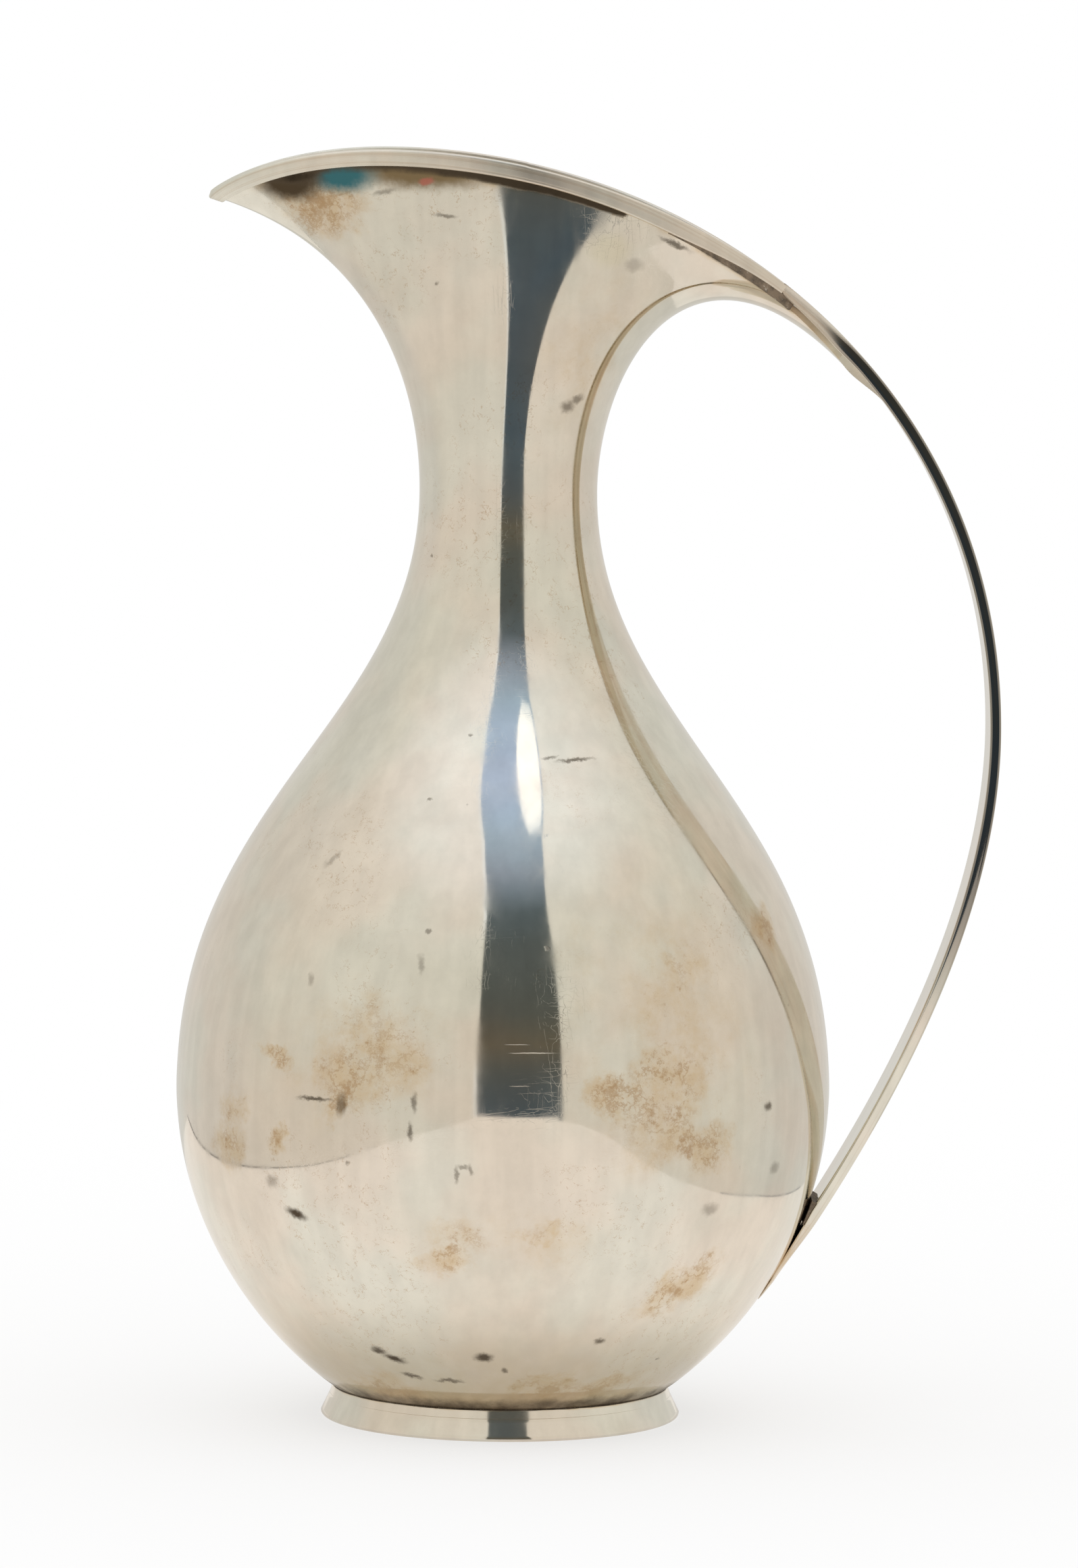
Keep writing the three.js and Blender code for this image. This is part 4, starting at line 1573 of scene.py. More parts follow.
BODY_PITS = (
    Mark((-31.6, -47.0, 60.8), (5.4, 4.05, 0.54), 0.85),
    Mark((-27.0, -49.8, 60.2), (1.35, 2.7, 2.7), 0.6),
    Mark((-14.6, -54.7, 61.3), (0.743, 2.7, 2.43), 0.65),
    Mark((-15.2, -54.6, 56.3), (0.675, 2.7, 2.16), 0.75),
    Mark((-13.8, -50.4, 84.2), (0.81, 2.7, 2.7), 0.4),
    Mark((-32.4, -42.4, 80.6), (0.81, 2.7, 1.49), 0.35),
    Mark((-29.1, -33.8, 100.1), (2.97, 2.7, 0.675), 0.35, -40),
    Mark((-34.7, -41.8, 40.6), (3.1, 3.24, 1.22), 1.0, 20),
    Mark((-38.8, -39.8, 45.7), (1.62, 2.7, 1.89), 0.4, 25),
    Mark((-20.6, -35.6, 16.4), (2.03, 2.16, 0.945), 0.9, 20),
    Mark((-17.8, -35.9, 15.0), (2.97, 2.43, 1.08), 1.0, 12),
    Mark((-2.6, -41.0, 16.2), (2.29, 2.43, 1.28), 0.95),
    Mark((-14.9, -33.9, 11.8), (2.7, 2.43, 0.608), 0.8, 12),
    Mark((-8.5, -35.4, 11.2), (3.51, 2.7, 0.54), 0.7),
    Mark((16.9, -39.9, 19.0), (1.28, 1.62, 0.945), 0.8),
    Mark((0.9, -38.7, 13.6), (0.81, 1.35, 0.81), 0.7),
    Mark((45.3, -34.1, 58.7), (1.35, 1.89, 1.22), 0.8, -30),
    Mark((35.4, -41.7, 42.0), (2.43, 2.7, 1.76), 0.4),
    Mark((46.6, -30.9, 47.7), (1.62, 2.16, 1.49), 0.4),
    Mark((11.9, -30.9, 117.1), (4.86, 4.05, 0.472), 0.75, -4),
    Mark((7.6, -31.6, 117.6), (2.16, 4.05, 0.405), 0.6, -8),
    Mark((-7.4, -55.8, 49.3), (0.54, 1.35, 2.03), 0.55),
    Mark((-6.2, -55.8, 50.8), (1.62, 1.35, 0.54), 0.5),
    Mark((-5.0, -55.8, 50.2), (0.472, 1.35, 1.22), 0.5),
    Mark((10.0, -13.1, 176.2), (1.9, 2.4, 1.6), 0.65),
    Mark((11.6, -12.2, 177.4), (2.0, 2.4, 1.1), 0.6, -35),
    Mark((-36.1, -9.1, 214.7), (5.94, 5.4, 1.76), 0.95),
    Mark((-11.1, -16.4, 208.8), (2.97, 2.7, 0.54), 0.6),
    Mark((-21.7, -13.9, 212.7), (3.24, 2.7, 0.675), 0.5, -15),
    Mark((21.2, -14.4, 200.6), (2.43, 2.43, 1.62), 0.3),
    Mark((28.2, -13.7, 204.2), (4.32, 2.7, 0.675), 0.75, 26),
    Mark((14, 52, 48), (2.56, 2.16, 1.35), 0.9),
    Mark((-30, 34, 92), (2.03, 2.03, 1.08), 0.7),
)
# Coloured patches by the rim band: the black and teal ones under the band are painted shade and
# dark reflection under its overhang, mixed with tarnish.
RIM_SHADE_AND_TARNISH = (
    Mark((-15.0, -16.0, 216.4), (19.0, 9, 4.3), 1.0, 0, (0.24, 0.175, 0.095)),
    Mark((-29.4, -12.0, 215.4), (8.6, 8, 4.0), 1.0, 0, (0.055, 0.18, 0.21)),
    Mark((-14.4, -16.3, 214.6), (1.8, 3, 1.0), 0.8, 0, (0.50, 0.17, 0.13)),
    Mark((-38.2, -8.2, 213.8), (8.4, 7, 4.4), 1.0, 0, (0.09, 0.065, 0.04)),
    Mark((17, -16, 203), (5, 5, 4), 0.25, 0, (0.74, 0.68, 0.42)),
)
BODY_SCUFFS = (
    Mark((4.8, -54.6, 70.0), (5.2, 3, 0.14)),
    Mark((2.5, -54.6, 71.4), (3.0, 3, 0.1), 0.8),
    Mark((-1.5, -40.0, 103.0), (2.5, 3, 0.12), 0.7, 10),
    Mark((3.0, -55.5, 64.5), (2.4, 3, 0.1), 0.7),
)


# Pieces


class Piece:
    """What each finished piece of the pitcher goes through."""

    @staticmethod
    def settle(piece: Thing, node: Optional[str], slot: Slot) -> Thing:
        """Lets a piece ride on the body and stand for its solid.

        Args:
            piece: the finished mesh object.
            node: the solid that it stands for, if any.
            slot: the record's material slot; not used.

        Returns:
            The piece.
        """
        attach(piece, "root")
        if node:
            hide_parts(node)
        LOG.info("%s: %d faces", piece.name, len(piece.data.polygons))
        return piece


@dataclass
class Vessel(Piece):
    """The body: the turned lower bowl, and the neck that opens into the mouth."""

    profile: Profile
    gauge: Gauge
    mouth: Mouth
    finish: SilverFinish
    swell_size: float = 26
    swell_depth: float = 0.10
    facet_size: float = 7
    facet_depth: float = 0.012
    seed: int = 11
    seam_fade: float = 6
    foot_joint_darkening: Span = (1.0, 8.0)
    base_steps: int = 13
    bowl_run: Run = (0, 0.95, 60)
    bowl_seam: Run = (0.04, 0.0008, 9)
    neck_seam: Run = (0.0006, 0.03, 9)
    neck_run: Run = (0.045, 1, 62)
    wall_steps: int = 54
    edge_fade: Span = (0.8, 0.96)

    # Darkening along the top of the wall under the rim band, by reach towards the handle: painted
    # shade under the band's overhang, with dark tarnish along it.
    EDGE_SHADE_AND_GRIME = (
        (-45, 0.3), (-41, 1.2), (-34, 1.25), (-30, 0.9), (-24, 1.1), (-14, 1.2), (-3, 1.45),
        (19, 1.5), (21, 0.35), (24, 0.7), (30, 0.85), (34, 1.1), (46, 1.15), (50, 0.6),
    )
    EDGE_START = (
        (-45, 0.97), (-38, 0.93), (-24, 0.94), (-8, 0.945), (2, 0.94), (10, 0.95), (19, 0.96),
        (30, 0.965), (34, 0.95), (46, 0.95),
    )

    material: Optional[Stuff] = field(default=None, init=False)

    def build(self) -> list[Thing]:
        """Both pieces of the body.

        Returns:
            The lower bowl, and the neck with the mouth.
        """
        self.material = self.finish.material()
        bowl = self.settle(self.lower_bowl(), "lower_bowl", Slot.POLISHED)
        neck = self.settle(self.neck_and_spout(), "neck_and_spout", Slot.POLISHED)
        return [bowl, neck]

    def play(self, height: Array) -> Array:
        """How much of the hammer marks shows at heights: none at the joints."""
        seam = smoothstep(np.abs(height - self.profile.belly_height), 0, self.seam_fade)
        return seam * smoothstep(height - self.profile.seat_height, 0, self.seam_fade)

    def hammered(self, piece: Thing) -> Thing:
        """The piece with hammer marks, closed and smooth.

        Args:
            piece: the closed sheet, which holds its play.

        Returns:
            The same piece.
        """
        settings = {
            "Material": self.material,
            "Swell Size": self.swell_size * MM,
            "Swell Depth": self.swell_depth * MM,
            "Facet Size": self.facet_size * MM,
            "Facet Depth": self.facet_depth * MM,
            "Seed": float(self.seed),
        }
        run_tree(piece, planished_tree(), settings)
        close_and_smooth(piece)
        return piece

    def lower_bowl(self) -> Thing:
        """The bowl from its flat base to the widest circle, turned round the axis.

        Returns:
            The bowl.
        """
        profile, sheet = self.profile, self.gauge.sheet
        base_run = np.linspace(0, 1, self.base_steps)
        near_seam = 1 - np.geomspace(*self.bowl_seam)
        bowl_run = np.concatenate([np.linspace(*self.bowl_run)[1:], near_seam, [1.0]])
        outside = [np.array([[0, profile.base_height]])]
        inside = [np.array([[0, profile.base_height + sheet]])]
        for curve, run in ((profile.base, base_run), (profile.bowl, bowl_run)):
            points = curve.point(run)
            outside.append(points)
            inside.append(points - sheet * curve.outward(run))
        outer, inner = np.concatenate(outside), np.concatenate(inside)[::-1]
        outline = np.concatenate([outer, inner])
        lining = np.repeat([0.0, 1.0], len(outer))
        # The bowl's outside is darker just above the foot.
        near_foot = 1 - smoothstep(outer[:, 1] - profile.seat_height, *self.foot_joint_darkening)
        marks = {
            "grime": np.concatenate([near_foot, 0 * near_foot]),
            "lining": lining,
            "play": self.play(outline[:, 1]) * (1 - lining),
        }
        return self.hammered(turned_piece("lower_bowl_sheet", outline, marks, self.material))

    def neck_and_spout(self) -> Thing:
        """The shoulder, the neck and the mouth, lofted as one sheet.

        Returns:
            The sheet.
        """
        turns = np.linspace(0, 4, ROUND_COLUMNS + 1)[:-1]
        angle = turns * math.pi / 2
        near_seam = np.geomspace(*self.neck_seam)
        run = np.concatenate([[0.0], near_seam, np.linspace(*self.neck_run)])
        shoulder = self.profile.shoulder.point(run)
        lining = shoulder - self.gauge.sheet * self.profile.shoulder.outward(run)
        climbs = np.linspace(0, 1, self.wall_steps)[1:, None]
        wall = self.mouth.point(turns[None, :], climbs)
        _, out, _ = self.mouth.frames(turns[None, :], climbs)
        rings = []
        for curve in (shoulder, lining):
            radius, height = curve[:, :1], curve[:, 1:]
            axes = radius * np.cos(angle), radius * np.sin(angle), height
            rings.append(np.stack(np.broadcast_arrays(*axes), -1))
        outer = np.concatenate([rings[0], wall])
        inner = np.concatenate([rings[1], wall - self.gauge.sheet * out])
        layers = np.concatenate([outer, inner[::-1]])
        faces = grid_faces(len(layers), len(turns), True, True)
        piece = new_object("neck_and_spout_sheet", to_metres(layers.reshape(-1, 3)), faces)
        heights = layers[..., 2].ravel()
        inside = np.repeat([0.0, 1.0], len(outer) * len(turns))
        climb = np.concatenate([np.zeros(len(run)), climbs[:, 0]])
        edge = np.repeat(np.concatenate([climb, climb[::-1]]), len(turns))
        reach = layers[..., 0].ravel()
        # Painted shade under the rim band, with dark tarnish, laid along the wall's top edge.
        amount = np.interp(reach, *zip(*self.EDGE_SHADE_AND_GRIME))
        start = np.interp(reach, *zip(*self.EDGE_START))
        near = smoothstep((edge - start) / (1 - start), 0, 1)
        fade = 1 - smoothstep(edge, *self.edge_fade)
        outside = 1 - inside
        play = self.play(heights) * fade * outside
        mark(piece, grime=amount * near * outside, lining=inside, play=play)
        close_and_smooth(piece)
        return self.hammered(piece)


@dataclass
class RimWire(Piece):
    """The band along the edge of the mouth, from one side of the handle's head to the other."""

    mouth: Mouth
    finish: SilverFinish
    proud: float = 0.5
    bevel: float = 0.4
    bevel_steps: int = 4
    upright: float = 0.5
    bite: float = 0.1
    trim: float = 0.1
    overlap: float = 0.5
    points: int = 360
    thin_from: float = 26
    thin_to: float = 47
    head_height: float = 1.7

    def course(self, turn: Array) -> tuple[Array, Array, Array, Array, Array]:
        """The wire's course along the wall's edge.

        Args:
            turn: places round the mouth.

        Returns:
            Points of the edge, directions out and up, and the wire's foot and top over the edge.
        """
        mouth, line = self.mouth, self.mouth.line
        edge = mouth.point(turn, 1.0)
        along, _, past = mouth.frames(turn, np.ones_like(turn))
        backwards = np.clip(1 - np.minimum(turn, 4 - turn), 0, None)
        up = np.array([0.0, 0.0, 1.0])
        stand = unit(up - along * along[:, 2:])
        rise = unit(lerp(past, stand, smoothstep(backwards, 0, self.upright)[:, None]))
        slope = (line.at(edge[:, 0] + DIFFERENCE) - line.at(edge[:, 0])) / DIFFERENCE
        line_top = (line.at(edge[:, 0]) - edge[:, 2]) / (rise[:, 2] - slope * rise[:, 0])
        top = np.where(backwards > 0, line_top, mouth.wire_reach) - self.trim
        thinned = smoothstep(edge[:, 0], self.thin_from, self.thin_to)
        foot = lerp(-self.bite, np.maximum(top - self.head_height, -self.bite), thinned)
        return edge, np.cross(along, rise), rise, foot, top

    def build(self) -> list[Thing]:
        """The wire, drawn along the wall's edge.

        Returns:
            The wire alone.
        """
        mouth, gauge, line = self.mouth, self.mouth.gauge, self.mouth.line
        first = float(mouth.turn_at(gauge.head_reach + mouth.wire_height))
        turn = np.linspace(first, 4 - first, self.points)
        width, height = gauge.sheet + self.proud, mouth.wire_height
        band = WireSection(width, height, self.proud, self.bevel, self.bevel_steps)
        piece = drawn_wire("rim_band", self.course(turn), band, self.finish.material())
        lean = line.lean(gauge.head_reach)
        reach = gauge.head_reach + self.overlap
        place = to_metres(np.array([reach, 0, line.at(reach)]))
        close_and_smooth(piece, (Vector(place), Vector((lean[0], 0, lean[1]))))
        return [self.settle(piece, "rim_wire", Slot.WORN)]


@dataclass
class HandleStrap(Piece):
    """The strap that carries on the rim's line, sweeps out and lands on the bowl."""

    line: SideLine
    gauge: Gauge
    profile: Profile
    mouth: Mouth
    finish: SilverFinish
    lower_pull: float = 42
    tail_pull: float = 12.5
    touch_height: float = 24.5
    head_hollow: float = 4
    head_flare: float = 9
    half_width: float = 8.8
    tail_half_width: float = 7.5
    wire_proud: float = 0.5
    bevel: float = 0.4
    bevel_steps: int = 5
    flat_steps: int = 14
    steps: tuple[int, int, int, int] = (20, 90, 110, 20)
    lap_end: float = 57
    lap_fade: float = 62
    round_end: Span = (50, 63)
    satin_end: Span = (52, 59)
    dark_reflection_fade: Span = (62, 98)
    tail_round: float = 0.74
    round_share: float = 0.47
    grime_and_shade_fade: Span = (30, 42)
    grime_and_shade_most: float = 0.75

    def tail_point(self, place: Number) -> Array:
        """Points of the strap's outside where it lies along the bowl.

        Args:
            place: places on the bowl's curve.

        Returns:
            Points of a side view.
        """
        on_bowl = self.profile.bowl.point(place)
        stand = self.gauge.thickness(on_bowl[..., 1])
        return on_bowl + stand[..., None] * self.profile.bowl.outward(place)

    @property
    def touch(self) -> float:
        """Place on the bowl where the strap has come down."""
        return float(self.profile.bowl.where(1, self.touch_height))

    @property
    def lower(self) -> Cubic:
        """The strap's outside below its furthest point.

        Returns:
            The curve.
        """
        out = np.array([self.line.handle_reach, self.line.handle_height])
        land = self.tail_point(self.touch)
        pull = land + self.tail_pull * self.profile.bowl.tangent(self.touch)
        return Cubic(out, out - [0, self.lower_pull], pull, land)

    @property
    def start(self) -> float:
        """Place on the side line where the strap's head starts."""
        return float(self.line.back.where(0, self.gauge.head_reach + self.gauge.seam / 2))

    def outline(self, stretch: Array) -> tuple[Array, Array]:
        """The strap's outside line.

        Args:
            stretch: 0 to 1 for the upper part, to 2 for the lower part, to 3 for the tail.

        Returns:
            Points and unit tangents of a side view.
        """
        end = float(self.profile.bowl.where(1, self.gauge.tail_end_height))
        upper = lerp(self.start, 1, np.clip(stretch, 0, 1))
        lower = np.clip(stretch - 1, 0, 1)
        tail = lerp(self.touch, end, np.clip(stretch - 2, 0, 1))
        choices = [(stretch <= 1)[..., None], (stretch <= 2)[..., None]]
        back, down, bowl = self.line.back, self.lower, self.profile.bowl
        points = [back.point(upper), down.point(lower)]
        tangents = [back.tangent(upper), down.tangent(lower)]
        on_bowl = self.tail_point(tail), -bowl.tangent(tail)
        return np.select(choices, points, on_bowl[0]), np.select(choices, tangents, on_bowl[1])

    def half(self, stretch: Array, points: Array) -> Array:
        """Half width of the strap along its line.

        Args:
            stretch: places along the strap, as for outline.
            points: points of the outside line there.

        Returns:
            Half widths.
        """
        turn = self.mouth.turn_at(self.gauge.head_reach)
        head = self.mouth.point(turn, 1.0)[..., 1] + self.wire_proud
        reach = self.gauge.head_reach + self.head_flare
        flare = np.clip((reach - points[..., 0]) / self.head_flare, 0, 1)
        upper = lerp(self.half_width, head, flare**2)
        drop = self.line.handle_height - self.gauge.tail_end_height
        fallen = (self.line.handle_height - points[..., 1]) / drop
        width = lerp(self.half_width, self.tail_half_width, fallen)
        narrow = np.sqrt(1 - self.tail_round * np.clip(stretch - 2, 0, 1) ** 2)
        return np.where(stretch <= 1, upper, width * narrow)

    def thickness(self, stretch: Array, points: Array) -> Array:
        """Thickness along the strap, which lies on the tongue and on the bowl without a gap.

        Args:
            stretch: places along the strap, as for outline.
            points: points of the outside line there.

        Returns:
            Thicknesses.
        """
        lapped = 1 - smoothstep(points[..., 0], self.lap_end, self.lap_fade)
        closing = self.gauge.seam * np.where(stretch <= 1, lapped, 0)
        return self.gauge.thickness(points[..., 1]) + closing

    def surface(self, stretch: Array, across: Array, depth: Array) -> Array:
        """Points of the strap along it, across it and down from its outside line.

        Args:
            stretch: places along the strap, as for outline.
            across: distances from the strap's middle.
            depth: depths below its outside line.

        Returns:
            Points of three coordinates.
        """
        points, tangents = self.outline(stretch)
        landed = 1 - smoothstep(points[..., 1], self.touch_height, self.gauge.taper_height)
        dip = depth + landed * across**2 / (2 * points[..., 0])
        place = points + dip[..., None] * right_of(tangents)
        return np.stack([place[..., 0], across, place[..., 1]], -1)

    def section(self, half: Array, thickness: Array, flat: Array) -> tuple[Array, Array]:
        """Rounded sections of the strap.

        Args:
            half: half widths along the strap.
            thickness: thicknesses along it.
            flat: 0 where the sides are round, 1 where they are flat.

        Returns:
            Distances across and depths, by place along the strap and corner.
        """
        most = self.round_share * thickness
        bevel = lerp(most, np.minimum(self.bevel, most), flat)[:, None]
        arc = np.linspace(0, math.pi / 2, self.bevel_steps + 1)[None, :]
        face = np.linspace(-1, 1, self.flat_steps + 1)[None, 1:-1] * (half[:, None] - bevel)
        left = -half[:, None] + bevel * (1 - np.sin(arc))
        top_depth = bevel * (1 - np.cos(arc))
        upper_y = np.concatenate([left[:, ::-1], face, -left], 1)
        upper_d = np.concatenate([top_depth[:, ::-1], 0 * face, top_depth], 1)
        lower_d = thickness[:, None] - upper_d[:, ::-1]
        across = np.concatenate([upper_y, upper_y[:, ::-1]], 1)
        return across, np.concatenate([upper_d, lower_d], 1)

    def build(self) -> list[Thing]:
        """The strap, lofted along its line.

        Returns:
            The strap alone.
        """
        run = self.line.back.point(np.linspace(0, 1, CURVE_SAMPLES))
        length = np.sum(np.linalg.norm(np.diff(run, axis=0), axis=1))
        hollow = self.head_hollow / (length * (1 - self.start))
        head_end = 2 * hollow
        ends = (0, head_end, 1, 2, 3)
        runs = [np.linspace(*run)[1:] for run in zip(ends, ends[1:], self.steps)]
        stretch = np.concatenate([[0.0], *runs])
        points, _ = self.outline(stretch)
        half = self.half(stretch, points)
        flat = np.where(stretch <= 1, smoothstep(points[:, 0], *self.round_end), 1)
        across, depth = self.section(half, self.thickness(stretch, points), flat)
        fade = np.clip(1 - stretch / head_end, 0, None)[:, None]
        set_back = hollow * fade * (1 - (across / half[:, None]) ** 2)
        loops = self.surface(stretch[:, None] + set_back, across, depth)
        columns = loops.shape[1]
        faces = grid_faces(len(loops), columns, round_columns=True)
        last = (len(loops) - 1) * columns
        for n in range(columns // 2 - 1):
            other = columns - 1 - n
            faces.append((n, n + 1, other - 1, other))
            faces.append((last + n, last + other, last + other - 1, last + n + 1))
        piece = new_object("handle_band", to_metres(loops.reshape(-1, 3)), faces)
        # Below its outside face, the strap is darkened where it comes down to the bowl: painted
        # shade in the V between strap and bowl.
        landing = 1 - smoothstep(loops[..., 2], *self.grime_and_shade_fade)
        grime = self.grime_and_shade_most * landing * (depth > self.gauge.tail)
        past_head = smoothstep(loops[..., 0], *self.satin_end)
        over_landing = smoothstep(loops[..., 2], *self.dark_reflection_fade)
        upper = loops[..., 2] > self.line.handle_height
        satin = np.where(upper, 1 - past_head, 0)
        # The strap's narrow sides are darkened along its upper part: painted reflection of the dark
        # front, with a tarnish film.
        narrow = smoothstep(self.bevel - (half[:, None] - np.abs(across)), 0, self.bevel)
        film = narrow * np.where(upper, past_head, over_landing)
        marks = {"grime": grime, "lift": depth * MM, "satin": satin, "film": film}
        mark(piece, **{name: values.ravel() for name, values in marks.items()})
        piece.data.materials.append(self.finish.material())
        close_and_smooth(piece)
        return [self.settle(piece, "handle_strap", Slot.WORN)]


@dataclass
class Foot(Piece):
    """The ring that the pitcher stands on, and the solder between it and the bowl."""

    profile: Profile
    gauge: Gauge
    finish: SilverFinish
    solder: SilverFinish
    radius: float = 31.2
    width: float = 4
    height: float = 4.2
    lean: float = 1.5
    shoulder_drop: float = 0.6
    bevel: float = 0.5
    solder_start: float = 28.2
    solder_low: float = 29.69
    solder_high: float = 29.1
    solder_clean: float = 0.62
    solder_top_darkening: Span = (0.1, 1.3)
    crest_darkening: Span = (-0.45, -0.1)
    heel_steps: int = 6
    face_steps: int = 7
    shoulder_steps: int = 18
    solder_steps: int = 8
    solder_face_steps: int = 9
    bite: float = 0.08

    @staticmethod
    def marks(outline: Array, grime: Array) -> dict[str, Array]:
        """What the mesh holds along an outline: darkening towards the joint, and the height for the
        file's lines.
        """
        return {"grime": grime, "lift": outline[:, 1] * MM}

    @property
    def inside(self) -> float:
        """Inner radius of the ring."""
        return self.radius - self.width

    @property
    def shoulder(self) -> Cubic:
        """Rounded shoulder from the outer face to the crest.

        Returns:
            The curve.
        """
        start = np.array([self.radius - self.lean, self.height - self.shoulder_drop])
        crest = np.array([self.inside + 2 * self.gauge.seam, self.height])
        up = np.array([start[0], lerp(start[1], crest[1], CIRCLE_FULLNESS)])
        over = np.array([lerp(crest[0], start[0], CIRCLE_FULLNESS), crest[1]])
        return Cubic(start, up, over, crest)

    def ring(self) -> Thing:
        """The foot ring.

        Returns:
            The ring.
        """
        crest = self.height
        turn = np.linspace(0, math.pi / 2, self.heel_steps)
        corner = np.array([self.radius - self.bevel, self.bevel])
        heel = corner + self.bevel * np.stack([np.sin(turn), -np.cos(turn)], -1)
        face = np.array([self.radius, self.bevel]), self.shoulder.point(0.0)
        side = np.linspace(*face, self.face_steps)[1:-1]
        small = self.gauge.seam
        inner = [(self.inside, crest - 2 * small), (self.inside, small), (self.inside + small, 0)]
        shoulder = self.shoulder.point(np.linspace(0, 1, self.shoulder_steps))
        outline = np.concatenate([heel, side, shoulder, np.array(inner), heel[:1]])
        # The ring is darker on its crest, under the bowl.
        grime = smoothstep(outline[:, 1] - crest, *self.crest_darkening)
        marks = self.marks(outline, grime)
        return turned_piece("foot_band", outline, marks, self.finish.material())

    def fillet(self) -> Thing:
        """The run of solder in the notch between foot and bowl.

        Returns:
            The solder.
        """
        shoulder, bowl = self.shoulder, self.profile.bowl
        under = np.linspace(self.solder_start, self.solder_low, self.solder_steps)
        over = np.linspace(self.solder_start, self.solder_high, self.solder_steps)[::-1]
        low = np.stack([under, shoulder.point(shoulder.where(0, under))[:, 1] - self.bite], -1)
        high = np.stack([over, bowl.point(bowl.where(0, over))[:, 1] + self.bite], -1)
        face = np.linspace(low[-1], high[0], self.solder_face_steps)[1:-1]
        outline = np.concatenate([low, face, high, low[:1]])
        share = (outline[:, 1] - low[-1, 1]) / (high[0, 1] - low[-1, 1])
        # The solder is darker towards its top, where it meets the bowl.
        grime = lerp(*self.solder_top_darkening, smoothstep(share, self.solder_clean, 1))
        marks = self.marks(outline, grime)
        return turned_piece("foot_solder", outline, marks, self.solder.material())

    def build(self) -> list[Thing]:
        """The ring and its solder.

        Returns:
            The ring, then the solder.
        """
        ring = self.settle(self.ring(), "foot_ring", Slot.WORN)
        fillet = self.settle(self.fillet(), "foot_solder_fillet", Slot.SOLDER)
        return [ring, fillet]


